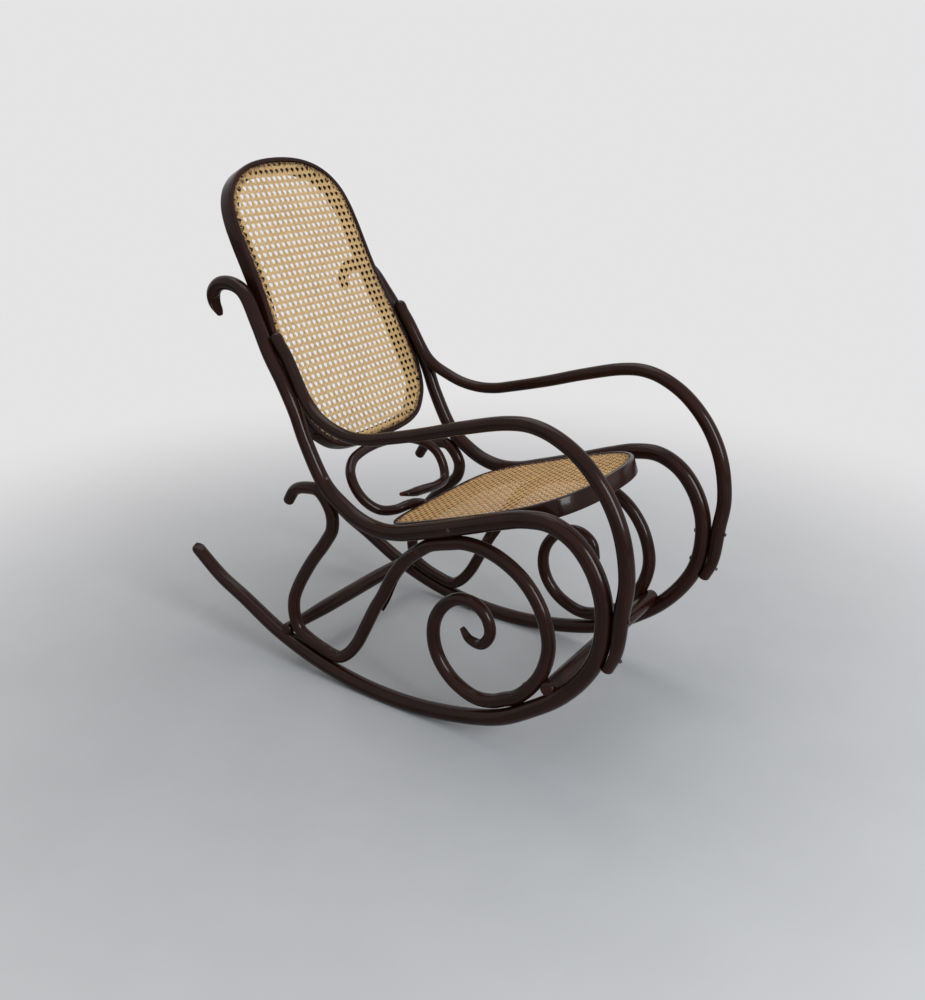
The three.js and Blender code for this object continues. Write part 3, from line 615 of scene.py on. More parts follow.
@dataclass(frozen=True)
class OldSteel:
    """Old screw and nail heads, dulled, brown in their corners."""

    metal: Colour = (0.08, 0.06, 0.05)
    rust: Colour = (0.035, 0.016, 0.01)
    spot_scale: float = 900.0
    bump_depth: float = 0.0002

    def paint(self, tree: NodeTree) -> None:
        """Adds the nodes.

        Args:
            tree: the material's nodes.
        """
        spots = tree.noise(tree.object_place(), self.spot_scale, 3.0, 0.6)
        rusty = spots.step(0.45, 0.65)
        tree.finish({
            "Base Color": tree.blend(rusty, self.metal, self.rust),
            "Metallic": 0.9 - rusty * 0.6,
            "Roughness": rusty * 0.3 + 0.35,
        }, spots, self.bump_depth)


@dataclass(frozen=True)
class PaleFloor:
    """A plain pale floor that fades into the white background away from the chair."""

    colour: Colour = (0.50, 0.505, 0.515)
    background: Colour = (0.78, 0.775, 0.785)
    fade_from: float = 0.5
    fade_to: float = 2.2
    shade: float = 0.96

    def paint(self, tree: NodeTree) -> None:
        """Adds the nodes.

        Args:
            tree: the material's nodes.
        """
        place = tree.object_place()
        mottled = tree.noise(place, 3.0, 4.0, 0.6).step(0.35, 0.65)
        distance = tree.value("ShaderNodeVectorMath", {"operation": "LENGTH"}, {0: place}, "Value")
        far = distance.step(self.fade_from, self.fade_to) * tree.ray("Is Camera Ray")
        shaded = tuple(self.shade * part for part in self.colour)
        ground = tree.node("ShaderNodeBsdfDiffuse", {},
                           {"Color": tree.blend(mottled, shaded, self.colour)})
        white = tree.node("ShaderNodeEmission", {}, {"Color": self.background, "Strength": 1.0})
        mixed = tree.node("ShaderNodeMixShader", {},
                          {0: far, 1: ground.outputs[0], 2: white.outputs[0]})
        tree.node("ShaderNodeOutputMaterial", {}, {0: mixed.outputs[0]})


Looks = VarnishedBeech | SplitCane | OldSteel | PaleFloor


class Finish(Enum):
    """The finishes of the chair's pieces."""

    BEECH = VarnishedBeech()
    BACK_CANE = SplitCane()
    SEAT_CANE = SplitCane(pale=(0.70, 0.44, 0.18), deep=(0.46, 0.25, 0.08))
    CANE_ENDS = SplitCane(pale=(0.50, 0.29, 0.11), deep=(0.022, 0.012, 0.008),
                          spot=(0.02, 0.012, 0.01))
    STEEL = OldSteel()


def painted(name: str, looks: Looks) -> bpy.types.Material:
    """Makes a material.

    Args:
        name: its name.
        looks: what adds its nodes.

    Returns:
        The material.
    """
    material = bpy.data.materials.new(name)
    looks.paint(NodeTree(material))
    return material


@cache
def material_of(finish: Finish) -> bpy.types.Material:
    """The material of a finish, made at its first use."""
    return painted(finish.name.lower(), finish.value)


def add_object(name: str, data: bpy.types.ID) -> bpy.types.Object:
    """Adds an object to the scene.

    Args:
        name: its name.
        data: its mesh, lamp or camera.

    Returns:
        The object.
    """
    made = bpy.data.objects.new(name, data)
    bpy.context.scene.collection.objects.link(made)
    return made


def put(thing: bpy.types.Object, place: Triple, way: Vector) -> None:
    """Puts a lamp or camera in its place, facing a direction."""
    thing.location = place
    thing.rotation_euler = way.to_track_quat("-Z", "Y").to_euler()


@dataclass
class MeshParts:
    """Corners, faces and what they carry, gathered before a mesh is made."""

    corners: list[Point] = field(default_factory=list)
    faces: list[list[int]] = field(default_factory=list)
    grain: list[Point] = field(default_factory=list)
    carried: list[Point] = field(default_factory=list)
    count: int = 0

    def add_grid(self, grid: Point, along: Point, around: Point, carried: Point,
                 closed: bool = False) -> "MeshParts":
        """Adds a tube from a grid of corners.

        Args:
            grid: corners, as rings by sides by 3.
            along: each ring's place along the piece, and one more when it is closed.
            around: each side's place around it, and one more for the seam.
            carried: the number that each ring carries.
            closed: whether the last ring joins the first. If not, a face closes either end.

        Returns:
            These parts.
        """
        rings, sides = grid.shape[:2]
        index = np.arange(rings * sides).reshape(rings, sides) + self.count
        rows = looped(index) if closed else index
        turned = np.roll(rows, -1, axis=1)
        quads = np.stack([rows[:-1], turned[:-1], turned[1:], rows[1:]], axis=-1).reshape(-1, 4)
        shape = (len(rows) - 1, sides)
        a, b = along[:shape[0], None], along[1:shape[0] + 1, None]
        u, v = around[None, :sides], around[None, 1:sides + 1]
        loops = [np.broadcast_to(x, shape) for x in (a, u, a, v, b, v, b, u)]
        self.corners.append(grid.reshape(-1, 3))
        self.faces.extend(quads.tolist())
        self.grain.append(np.stack(loops, axis=-1).reshape(-1, 2))
        self.carried.append(np.repeat(carried, sides))
        if not closed:
            for ring, place in ((index[0][::-1], along[0]), (index[-1], along[-1])):
                self.faces.append(ring.tolist())
                self.grain.append(np.stack([np.full(sides, place), around[:sides]], axis=-1))
        self.count += rings * sides
        return self

    def build(self, name: str, carries: str = "worn") -> bpy.types.Object:
        """Makes the object, with its grain as the UV map and the carried number as an attribute.

        Args:
            name: the piece's name.
            carries: the attribute's name.

        Returns:
            The object.
        """
        mesh = bpy.data.meshes.new(name)
        mesh.from_pydata(np.concatenate(self.corners).tolist(), [], self.faces)
        mesh.uv_layers.new(name="grain").data.foreach_set("uv", np.concatenate(self.grain).ravel())
        layer = mesh.attributes.new(carries, "FLOAT", "POINT")
        layer.data.foreach_set("value", np.concatenate(self.carried).astype(np.float32))
        mesh.shade_smooth()
        return add_object(name, mesh)


@dataclass(frozen=True)
class FlatCut:
    """A flat face cut into a rod, ever deeper from one share of its length to another."""

    start: float
    end: float
    facing: Pair
    leave: float = CUT_LEAVES
    inset: float = 0.0
    limit: float = 0.999

    def trim(self, section: Point, share: float, plane: float, across: float) -> Point:
        """Cuts one ring.

        Args:
            section: its corners, in the rod's plane and across it.
            share: its share of the rod's length.
            plane: the rod's half thickness in its plane.
            across: its half thickness across the plane.

        Returns:
            The corners, none of them beyond the cut.
        """
        depth = (share - self.start) / (self.end - self.start)
        if depth <= 0:
            return section
        half = abs(self.facing[0]) * plane + abs(self.facing[1]) * across
        level = half - min(depth, 1.0) * (2 * half - self.leave) - self.inset
        facing = np.array(self.facing)
        beside = np.abs(facing[::-1])
        wide = float(beside @ [plane, across])
        meeting = math.acos(min(max(level / half, -self.limit), self.limit))
        swing = np.arctan2(section @ beside / wide, section @ facing / half)
        flat = level * facing + (wide * math.sin(meeting) * swing / meeting)[:, None] * beside
        return np.where((np.abs(swing) < meeting)[:, None], flat, section)


def worn(places: Sequence[Triple], shares: Point) -> Point:
    """How worn a rod is.

    Args:
        places: worn places, each as a share of the rod's length, a reach and a strength.
        shares: where the wear is wanted.

    Returns:
        The strongest wear there.
    """
    marks = [strength * np.exp(-((shares - middle) / reach) ** 2)
             for middle, reach, strength in places]
    return np.max([np.zeros_like(shares), *marks], axis=0)


def ring_angles(sides: int) -> Point:
    """The angles of a ring's corners."""
    return 2 * math.pi * np.arange(sides) / sides


def girth_marks(half: float, sides: int) -> Point:
    """Places of a ring's corners round a piece, and one more for the seam."""
    return np.linspace(0, 2 * math.pi * half, sides + 1)


@dataclass(frozen=True)
class Rod:
    """A bent rod: elliptical rings carried along a path without twist, with rounded ends."""

    path: Bend
    stops: Sequence[Stop]
    nose_start: float = ROD_NOSE
    nose_end: float = ROD_NOSE
    cuts: Sequence[FlatCut] = ()
    sides: int = 32
    spacing: float = 0.005
    least_rings: int = 8
    nose_rings: int = 5

    def marks(self) -> tuple[Point, Point]:
        """Where the rings go.

        Returns:
            Their shares of the length, and how far each is drawn in by a rounded end.
        """
        count = max(int(self.path.length / self.spacing), self.least_rings)
        start, end = self.nose_start / self.path.length, self.nose_end / self.path.length
        swing = np.linspace(0, math.pi / 2, self.nose_rings, endpoint=False)
        shares = np.concatenate([
            start * (1 - np.cos(swing)), np.linspace(start, 1 - end, count),
            1 - end * (1 - np.cos(swing[::-1])),
        ])
        drawn = np.concatenate([
            self.nose_start * (1 - np.sin(swing)), np.zeros(count),
            self.nose_end * (1 - np.sin(swing[::-1])),
        ])
        return shares, drawn

    def build(self, name: str, wear: Sequence[Triple], slot: str, node: str) -> None:
        """Makes the rod and dresses it.

        Args:
            name: the piece's name.
            wear: its worn places.
            slot: the record's material slot.
            node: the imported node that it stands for.
        """
        shares, drawn = self.marks()
        plane, across, shift = sizes_at(self.stops, shares)
        keep = 1 - drawn / np.maximum(plane, drawn * (1 + 1 / self.sides))
        angles = ring_angles(self.sides)
        tangent, side = self.path.tangent(0), self.path.sideways(0)
        rings = []
        for k, share in enumerate(shares):
            following = self.path.tangent(float(share))
            turn = Vector(tangent).rotation_difference(Vector(following))
            side = np.array(turn @ Vector(side))
            side = unit(side - following * float(side @ following))
            tangent = following
            section = keep[k] * np.stack(
                [np.cos(angles) * plane[k], np.sin(angles) * across[k]], axis=-1)
            for cut in self.cuts:
                section = cut.trim(section, float(share), float(keep[k] * plane[k]),
                                   float(keep[k] * across[k]))
            centre = self.path.at(float(share)) + side * shift[k]
            rings.append(centre + section @ np.stack([side, np.cross(tangent, side)]))
        around = girth_marks(float(np.mean(plane)), self.sides)
        parts = MeshParts().add_grid(
            np.stack(rings), shares * self.path.length, around, worn(wear, shares))
        dress(parts.build(name), Finish.BEECH, slot, node)


def turned_grid(profile: Point, seat: Point, way: Point, sides: int) -> Point:
    """Rings of a turned piece.

    Args:
        profile: rows of radius and height.
        seat: where height is zero.
        way: the direction of the height.
        sides: corners in each ring.

    Returns:
        The grid of corners.
    """
    way = unit(np.asarray(way, float))
    first = unit(np.cross(way, SLANT if abs(way[0]) > 0.9 else ACROSS))
    second = np.cross(way, first)
    angles = ring_angles(sides)
    circle = np.outer(np.cos(angles), first) + np.outer(np.sin(angles), second)
    return seat + profile[:, 0, None, None] * circle + profile[:, 1, None, None] * way


def dress(piece: bpy.types.Object, finish: Finish, slot: str, *nodes: str) -> None:
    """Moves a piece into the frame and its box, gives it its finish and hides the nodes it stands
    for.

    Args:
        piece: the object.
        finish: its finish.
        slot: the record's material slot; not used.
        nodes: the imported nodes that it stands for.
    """
    piece.data.materials.append(material_of(finish))
    corners = np.empty(3 * len(piece.data.vertices))
    piece.data.vertices.foreach_get("co", corners)
    kept = np.clip(corners.reshape(-1, 3) + OFFSET, *np.array(CAD_BOX))
    piece.data.vertices.foreach_set("co", kept.ravel())
    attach(piece, "root")
    if nodes:
        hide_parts(*nodes)
    LOG.info("%s: %d faces", piece.name, len(piece.data.polygons))


@dataclass(frozen=True)
class RoundHead:
    """A domed head with a slot cut across it."""

    half: float = 0.0045
    rise: float = 0.002
    slot_half: float = 0.0007
    slot_depth: float = 0.0009
    slot_from: float = 0.35
    top_share: float = 0.02
    sides: int = 40
    rings: int = 8

    def build(self, name: str, seat: Point, way: Point, *nodes: str) -> None:
        """Makes the head and dresses it.

        Args:
            name: the piece's name.
            seat: the middle of its flat side.
            way: the direction that it rises in.
            nodes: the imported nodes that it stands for.
        """
        swing = np.linspace(0, math.pi / 2, self.rings)
        profile = np.stack([self.half * np.maximum(np.cos(swing), self.top_share),
                            self.rise * np.sin(swing)], axis=-1)
        grid = turned_grid(profile, np.zeros(3), way, self.sides)
        across = np.abs(profile[:, :1] * np.sin(ring_angles(self.sides)))
        cut = (across < self.slot_half) & (profile[:, 1:] > self.slot_from * self.rise)
        grid = grid - (cut * self.slot_depth)[..., None] * unit(np.asarray(way, float)) + seat
        parts = MeshParts().add_grid(grid, np.linspace(0, self.half, self.rings),
                                     girth_marks(self.half, self.sides), np.zeros(self.rings))
        dress(parts.build(name), Finish.STEEL, "bolt_steel", *nodes)


@dataclass(frozen=True)
class SideFrame:
    """One side of the chair: main member, arm, arch with its coil, and rear scroll."""

    side: int

    # Where inner rods and the arm's top lie.
    inner_inset: float = 0.006
    arm_top_sink: float = 0.0024

    # The long scarf between the arch's tongue, inside, and the strut, outside.
    tongue_spring: float = 0.009
    tongue_end_half: float = 0.0115
    scarf_end: float = 0.006
    scarf_inset: float = 0.0033

    # Lengths of the slanting cuts at the rods' ends.
    hook_cut: float = 0.048
    coil_cut: float = 0.060
    tail_cut: float = 0.022

    # The runner's arc.
    runner_bend: float = 0.780
    runner_middle: float = -0.006
    runner_from_deg: float = -21.5
    runner_to_deg: float = 31.0
    runner_steps: int = 6

    # What the left scroll and coil differ by from the right ones.
    left_hook_forward: float = 0.020
    left_hook_drop: float = 0.018
    left_coil_drop: float = 0.011
    left_coil_points: int = -3

    # Where the other rods touch the main member.
    arch_rail_share: float = -0.1486
    arch_foot_shares: tuple[float, ...] = (-0.284, -0.2595)
    scroll_foot_shares: tuple[float, ...] = (0.166, 0.1486, 0.131)
    scroll_stile_share: float = 0.5429
    arm_touch_shares: tuple[float, ...] = (0.4357, 0.3571, 0.3119)

    # Where bolts and screws sit, and how far the bolts' ends reach.
    bolt_shares: tuple[float, ...] = (0.425, 0.344)
    bolt_end_reaches: tuple[float, ...] = (0.0462, 0.0410)
    scroll_bolt_share: float = 0.556
    arch_screw_share: float = 0.183
    rail_plug_share: float = -0.1676

    @property
    def word(self) -> str:
        """The sitter's hand on this side."""
        return "right" if self.side < 0 else "left"

    def point(self, y: float, z: float, inset: float) -> Point:
        """A point of the side view, set in from the middle plane of the member."""
        return np.array([self.side * (SIDE_SPACING / 2 - inset), y, z])

    def outer_points(self, shares: Shares) -> list[Point]:
        """Points given as shares, drawn inwards by the lean in their third number."""
        return [self.point(row[0] * CHAIR_LENGTH, row[1] * SIDE_HEIGHT, sum(row[2:]) * STILE_LEAN)
                for row in shares]

    def inner_points(self, shares: Shares, forward: float = 0.0, drop: float = 0.0) -> list[Point]:
        """Points of an inner rod.

        Args:
            shares: the points, the third number saying how far each follows the left side's move.
            forward: how far the left side's points move forward.
            drop: how far they move down.

        Returns:
            The points.
        """
        left = 1 if self.side > 0 else 0
        return [self.point(row[0] * CHAIR_LENGTH - left * sum(row[2:]) * forward,
                           row[1] * SIDE_HEIGHT - left * sum(row[2:]) * drop, self.inner_inset)
                for row in shares]

    @property
    def hook_drop(self) -> float:
        """How much lower the scroll's hook is than on the right side."""
        return self.left_hook_drop if self.side > 0 else 0.0

    @cached_property
    def member(self) -> Bend:
        """Hook, stile, rail, front loop and runner in one path.

        Returns:
            The main member's path.
        """
        points = self.outer_points([*HOOK_SHARES[self.word], *STILE_SHARES, *FRONT_LOOP_SHARES])
        arc = self.runner_to_deg - self.runner_from_deg
        for k in range(self.runner_steps + 1):
            swing = math.radians(self.runner_from_deg + arc * k / self.runner_steps)
            points.append(self.point(self.runner_middle + self.runner_bend * math.sin(swing),
                                     RUNNER_HALF + self.runner_bend * (1 - math.cos(swing)), 0))
        return Bend([*points, *self.outer_points(TAIL_SHARES)])

    def against(self, share: float, half: float, facing: int, inset: float = 0.0,
                rise: float = CHORD_RISE) -> Point:
        """The centre of a rod that lies against the member.

        Args:
            share: where on the member's path.
            half: the rod's half thickness there.
            facing: 1 for the member's inner side, -1 for its outer side.
            inset: how far the rod is set in from the member.
            rise: how far the member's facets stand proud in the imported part.

        Returns:
            The point.
        """
        reach = float(sizes_at(MEMBER_STOPS, share)[0]) + half + GAP + rise
        point = self.member.at(share)
        point[0] -= math.copysign(inset, point[0])
        return point + self.member.sideways(share) * facing * math.sqrt(reach ** 2 - inset ** 2)

    def touch_level(self, height: float, span: Pair, half: float, facing: int,
                    inset: float = 0.0) -> Point:
        """Where a rod lies against the member at a share of the side's height."""
        share = self.member.share_at(2, height * SIDE_HEIGHT, *span)
        return self.against(share, half, facing, inset)

    def touch_along(self, place: float, span: Pair, half: float) -> Point:
        """Where an inner rod lies against the member at a share of the chair's length."""
        share = self.member.share_at(1, place * CHAIR_LENGTH, *span)
        return self.against(share, half, 1, self.inner_inset)

    def arm_path(self) -> Bend:
        """Flat top on the back rim, sweep forward, tapered tail outside the front loop.

        Returns:
            The path.
        """
        top = [BACK_PLANE.at(self.side * out * SIDE_SPACING / 2, rise * BACK_RISE,
                             self.arm_top_sink - (ARM_TOP_HALF + GAP + lift * ARM_HALF))
               for rise, out, lift in ARM_TOP_SHARES]
        halves = (ARM_FRONT_HALF, (ARM_FRONT_HALF + ARM_TAIL_HALF) / 2, ARM_TAIL_HALF)
        tail = [self.touch_level(height, LOOP_SPAN_SHARES, half, -1)
                for height, half in zip(self.arm_touch_shares, halves)]
        return Bend([*top, *self.outer_points(ARM_SHARES), *tail])

    def arch_path(self) -> Bend:
        """Tongue along the strut, crown under the rail, foot on the runner, then the coil.

        Returns:
            The path.
        """
        coil = COIL_SHARES[:self.left_coil_points if self.side > 0 else None]
        return Bend([
            *self.inner_points([*STRUT_SHARES, *CROWN_SHARES]),
            self.touch_along(self.arch_rail_share, RAIL_SPAN_SHARES, ARCH_HALF),
            *self.inner_points(ARCH_SHARES),
            *(self.touch_along(share, RUNNER_SPAN_SHARES, ARCH_FOOT_HALF)
              for share in self.arch_foot_shares),
            *self.inner_points(coil, 0, self.left_coil_drop),
        ])

    def scroll_path(self) -> Bend:
        """Hook behind the stile, loop on the runner, strut up to the arch.

        Returns:
            The path.
        """
        stile = self.scroll_stile_share - self.hook_drop / SIDE_HEIGHT
        return Bend([
            *self.inner_points(SCROLL_HOOK_SHARES, self.left_hook_forward, self.left_hook_drop),
            self.touch_level(stile, STILE_SPAN_SHARES, SCROLL_HALF, 1, self.inner_inset),
            *self.inner_points(SCROLL_SWEEP_SHARES, self.left_hook_forward, self.left_hook_drop),
            *(self.touch_along(share, RUNNER_SPAN_SHARES, SCROLL_HALF)
              for share in self.scroll_foot_shares),
            *self.inner_points([*SCROLL_LOOP_SHARES, *STRUT_SHARES]),
        ])

    def build_member(self) -> None:
        """The main member, and the screw from its rail into the seat."""
        member = self.member
        cuts = (FlatCut(self.hook_cut / member.length, 0.0, (1, 0)),
                FlatCut(1 - self.tail_cut / member.length, 1.0, (1, 0), RUNNER_HALF))
        wear = [(0, 0.008, 0.2), (1, 0.01, 0.48), (0.72, 0.05, 0.3), (0.47, 0.03, 0.25)]
        Rod(member, MEMBER_STOPS, CUT_LEAVES, 2 * ROD_NOSE, cuts).build(
            f"side_member_rod_{self.word}", wear, "member_wood", f"side_member_{self.word}")
        plug = member.share_at(1, self.rail_plug_share * CHAIR_LENGTH, *RAIL_SPAN_SHARES)
        outward = self.side * ACROSS
        seat = member.at(plug) + outward * (RAIL_HALF - GAP)
        RoundHead().build(f"rail_screw_{self.word}", seat, outward)

    def build_arm(self) -> None:
        """The arm, its tail cut flat against the front loop."""
        wear = [(0, 0.01, 0.35), (0.62, 0.05, 0.35), (1, 0.02, 0.4)]
        tail = (FlatCut(ARM_STOPS[-2].share, 1.0, (1, 0), ARM_TAIL_HALF + ARM_TAIL_SKIN),)
        Rod(self.arm_path(), ARM_STOPS, ARM_HALF, ROD_NOSE, tail).build(
            f"arm_rod_{self.word}", wear, "arm_wood", f"arm_{self.word}")

    def build_arch(self) -> None:
        """The arch, its tongue inside the strut, its coil, and a screw into the runner."""
        path = self.arch_path()
        top = path.share_at(1, STRUT_SHARES[-1][0] * CHAIR_LENGTH, *TONGUE_SPAN_SHARES)
        stops = [Stop(0, self.tongue_end_half, ARCH_HALF, self.tongue_spring),
                 Stop(top / 2, ARCH_HALF), *ARCH_STOPS]
        cuts = (FlatCut(top, 0.0, (0, self.side), self.scarf_end, self.scarf_inset),
                FlatCut(1 - self.coil_cut / path.length, 1.0, (1, 0), 2 * CUT_LEAVES))
        wear = [(0, 0.006, 0.3), (0.1, 0.02, 0.2), (0.6, 0.03, 0.25)]
        Rod(path, stops, CUT_LEAVES, CUT_LEAVES, cuts).build(
            f"arch_rod_{self.word}", wear, "arch_wood", f"arch_coil_{self.word}")
        share = path.share_at(2, self.arch_screw_share * SIDE_HEIGHT, *ARCH_LIMB_SPAN_SHARES)
        way = path.sideways(share)
        RoundHead().build(f"arch_screw_{self.word}", path.at(share) + way * ARCH_HALF, way)

    def build_scroll(self) -> None:
        """The rear scroll and its strut, and the bolt that holds it to the stile."""
        path = self.scroll_path()
        foot = path.share_at(1, STRUT_SHARES[0][0] * CHAIR_LENGTH, *STRUT_SPAN_SHARES)
        cuts = (FlatCut(foot, 1.0, (0, -self.side), self.scarf_end, self.scarf_inset),)
        wear = [(0, 0.01, 0.3), (0.995, 0.004, 0.75), (0.55, 0.03, 0.2)]
        Rod(path, SCROLL_STOPS, ROD_NOSE, CUT_LEAVES, cuts).build(
            f"scroll_rod_{self.word}", wear, "scroll_wood", f"rear_scroll_{self.word}")
        level = self.scroll_bolt_share * SIDE_HEIGHT - self.hook_drop
        share = self.member.share_at(2, level, *STILE_SPAN_SHARES)
        way = self.member.sideways(share)
        for word, reach in (("rear", STILE_HALF + 2 * SCROLL_HALF + GAP), ("front", -STILE_HALF)):
            RoundHead().build(f"scroll_bolt_{word}_{self.word}",
                              self.member.at(share) + way * reach, way * np.sign(reach))

    def build_bolts(self) -> None:
        """Heads and ends of the bolts through front loop and arm."""
        for k, (height, reach) in enumerate(zip(self.bolt_shares, self.bolt_end_reaches), 1):
            share = self.member.share_at(2, height * SIDE_HEIGHT, *LOOP_SPAN_SHARES)
            way = self.member.sideways(share)
            RoundHead(half=0.0055, rise=0.0026).build(
                f"bolt_head_{self.word}_{k}", self.against(share, 0, 1, 0, -GAP), way,
                f"arm_bolt_{self.word}_{k}")
            RoundHead(half=0.0038, rise=0.003).build(
                f"bolt_end_{self.word}_{k}", self.member.at(share) - way * reach, -way)

    def build(self) -> None:
        """Builds all pieces of the side."""
        self.build_member()
        self.build_arm()
        self.build_arch()
        self.build_scroll()
        self.build_bolts()


@dataclass(frozen=True)
class Stretcher:
    """A turned rod across the chair with slim ends and a swollen body."""

    end_half: float
    body_half: float
    overhang: float = 0.009
    seat_half: float = 0.0105
    drop: float = 0.0045
    nose: float = 0.009
    nose_share: float = 0.7
    swell_from: float = 0.35
    swell_to: float = 0.9
    rings: int = 120
    sides: int = 40

    def profile(self) -> Point:
        """The turned outline.

        Returns:
            Rows of radius and place across the chair.
        """
        half = SIDE_SPACING / 2 + self.overhang
        place = np.linspace(-1, 1, self.rings)
        fall = np.clip((np.abs(place) - self.swell_from) / (self.swell_to - self.swell_from), 0, 1)
        swell = 1 - fall * fall * (3 - 2 * fall)
        body = np.stack([self.end_half + (self.body_half - self.end_half) * swell,
                         place * (half - self.nose)], axis=-1)
        swing = np.linspace(0, math.pi / 2, 6)[1:]
        nose = np.stack([self.end_half - self.nose_share * self.nose * (1 - np.cos(swing)),
                         half - self.nose + self.nose * np.sin(swing)], axis=-1)
        return np.concatenate([nose[::-1] * [1, -1], body, nose])

    def build(self, name: str, seat: Point, wear: Sequence[Triple]) -> None:
        """Makes the stretcher and dresses it.

        Args:
            name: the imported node's name.
            seat: a point of its axis.
            wear: its worn places.
        """
        profile = self.profile()
        grid = turned_grid(profile, seat * [0, 1, 1], ACROSS, self.sides)
        shares = (profile[:, 1] - profile[0, 1]) / (profile[-1, 1] - profile[0, 1])
        around = girth_marks(self.body_half, self.sides)
        parts = MeshParts().add_grid(grid, profile[:, 1], around, worn(wear, shares))
        dress(parts.build(f"{name}_rod"), Finish.BEECH, "stretcher_wood", name)


@dataclass(frozen=True)
class Weave:
    """Six-way cane: pairs up and across, and single strands on both slants."""

    pitch: float = 0.0154
    pair_half: float = 0.0014
    strand_width: float = 0.0022
    strand_thickness: float = 0.0009
    pair_lift: float = 0.00045
    slant_lift: float = 0.0011
    stray: float = 0.00018
    end_reach: float = 0.006
    shoulder_out: float = 0.8
    shoulder_up: float = 0.3
    shift_along: float = 3.0
    shift_around: float = 1.0
    seed: int = 7

    @property
    def around(self) -> Point:
        """Places of a strand's five corners round it, and one more for the seam."""
        return np.linspace(0, self.strand_width * 2, 6)

    def strand_grid(self, line: Point, heights: Point) -> Point:
        """Corners of one strand: a flat underside and a rounded skin.

        Args:
            line: points along it, as across and along.
            heights: its height at each of them.

        Returns:
            The grid of corners.
        """
        along = np.gradient(line, axis=0)
        along /= np.maximum(np.linalg.norm(along, axis=1, keepdims=True), TINY)
        out = np.stack([-along[:, 1], along[:, 0]], axis=-1)
        half, thick = self.strand_width / 2, self.strand_thickness
        out_to, up_to = half * self.shoulder_out, thick * self.shoulder_up
        profile = ((half, -thick / 2), (out_to, up_to), (0, thick / 2), (-out_to, up_to),
                   (-half, -thick / 2))
        grid = np.zeros((len(line), len(profile), 3))
        for k, (across, up) in enumerate(profile):
            grid[:, k, :2] = line + out * across
            grid[:, k, 2] = heights + up
        return grid

    @staticmethod
    def stretches(start: Point, way: Point, polygon: Point) -> list[Pair]:
        """Where a line lies inside an outline.

        Args:
            start: a point of the line.
            way: its direction, of length one.
            polygon: the outline's corners.

        Returns:
            Pairs of distances along the line.
        """
        edge = np.roll(polygon, -1, axis=0) - polygon
        gap = polygon - start
        turn = way[0] * edge[:, 1] - way[1] * edge[:, 0]
        turn = np.where(np.abs(turn) < TINY, TINY, turn)
        along = (gap[:, 0] * edge[:, 1] - gap[:, 1] * edge[:, 0]) / turn
        share = (gap[:, 0] * way[1] - gap[:, 1] * way[0]) / turn
        hits = np.sort(along[(share >= 0) & (share < 1)])
        return [(float(hits[k]), float(hits[k + 1])) for k in range(0, len(hits) - 1, 2)]

    def add_strand(self, parts: MeshParts, start: Point, way: Point, marks: Point, holes: Point,
                   rng: random.Random) -> None:
        """Adds the stretches of a strand that lie inside the line of holes.

        Args:
            parts: where its corners and faces go.
            start: the point that its marks are counted from.
            way: its direction, of length one.
            marks: rows of distance along it and height there.
            holes: the drilled holes in their order round the frame.
            rng: for its tone and its small strays.
        """
        start = start + np.array([-way[1], way[0]]) * rng.uniform(-self.stray, self.stray)
        for low, high in self.stretches(start, way, holes):
            if high - low < self.pitch:
                continue
            inside = marks[(marks[:, 0] > low + self.end_reach)
                           & (marks[:, 0] < high - self.end_reach)]
            ends = [holes[np.argmin(np.linalg.norm(holes - (start + way * end), axis=1))]
                    for end in (low, high)]
            line = np.concatenate([ends[:1], start + inside[:, :1] * way, ends[1:]])
            heights = np.concatenate([[0.0], inside[:, 1], [0.0]])
            places = np.concatenate([[low], inside[:, 0], [high]])
            around = self.around + rng.uniform(0, self.shift_around)
            tone = np.full(len(places), rng.random())
            grid = self.strand_grid(line, heights)
            parts.add_grid(grid, places + rng.uniform(0, self.shift_along), around, tone)

    def build(self, holes: Point, crossing: Point) -> MeshParts:
        """Weaves the whole outline, flat, with the third coordinate up from the weave's middle.

        Args:
            holes: the drilled holes in their order, as across and along.
            crossing: a place where a pair up crosses a pair across.

        Returns:
            The corners and faces.
        """
        parts = MeshParts()
        rng = random.Random(self.seed)
        pitch, half, lift = self.pitch, self.pair_half, self.pair_lift
        reach = int(np.abs(holes - crossing).max() / pitch) + 2
        cells = np.arange(-reach, reach + 1)
        straight = np.eye(2)[::-1]
        for sign in (-1, 1):
            pair = [np.stack([cells * pitch + end * half, np.full(len(cells), -end * sign * lift)],
                             axis=-1) for end in (-1, 1)]
            marks = np.stack(pair, axis=1).reshape(-1, 2)
            for cell in cells * pitch + sign * half:
                for way, turn in zip(straight, (1, -1)):
                    self.add_strand(parts, crossing + cell * way[::-1], way, marks * [1, turn],
                                    holes, rng)
        root = math.sqrt(0.5)
        steps = np.arange(-4 * reach, 4 * reach + 1)
        level = np.where(steps % 2 == 0, self.slant_lift, -self.slant_lift)
        slant = np.stack([np.stack([(steps * pitch / 2 + end) / root, level], axis=-1)
                          for end in (-half, half)], axis=1).reshape(-1, 2)
        for cell in np.arange(-2 * reach, 2 * reach) * pitch + pitch / 2:
            for turn in (1, -1):
                self.add_strand(parts, crossing + [cell, 0], np.array([root, turn * root]),
                                slant * [1, turn], holes, rng)
        return parts


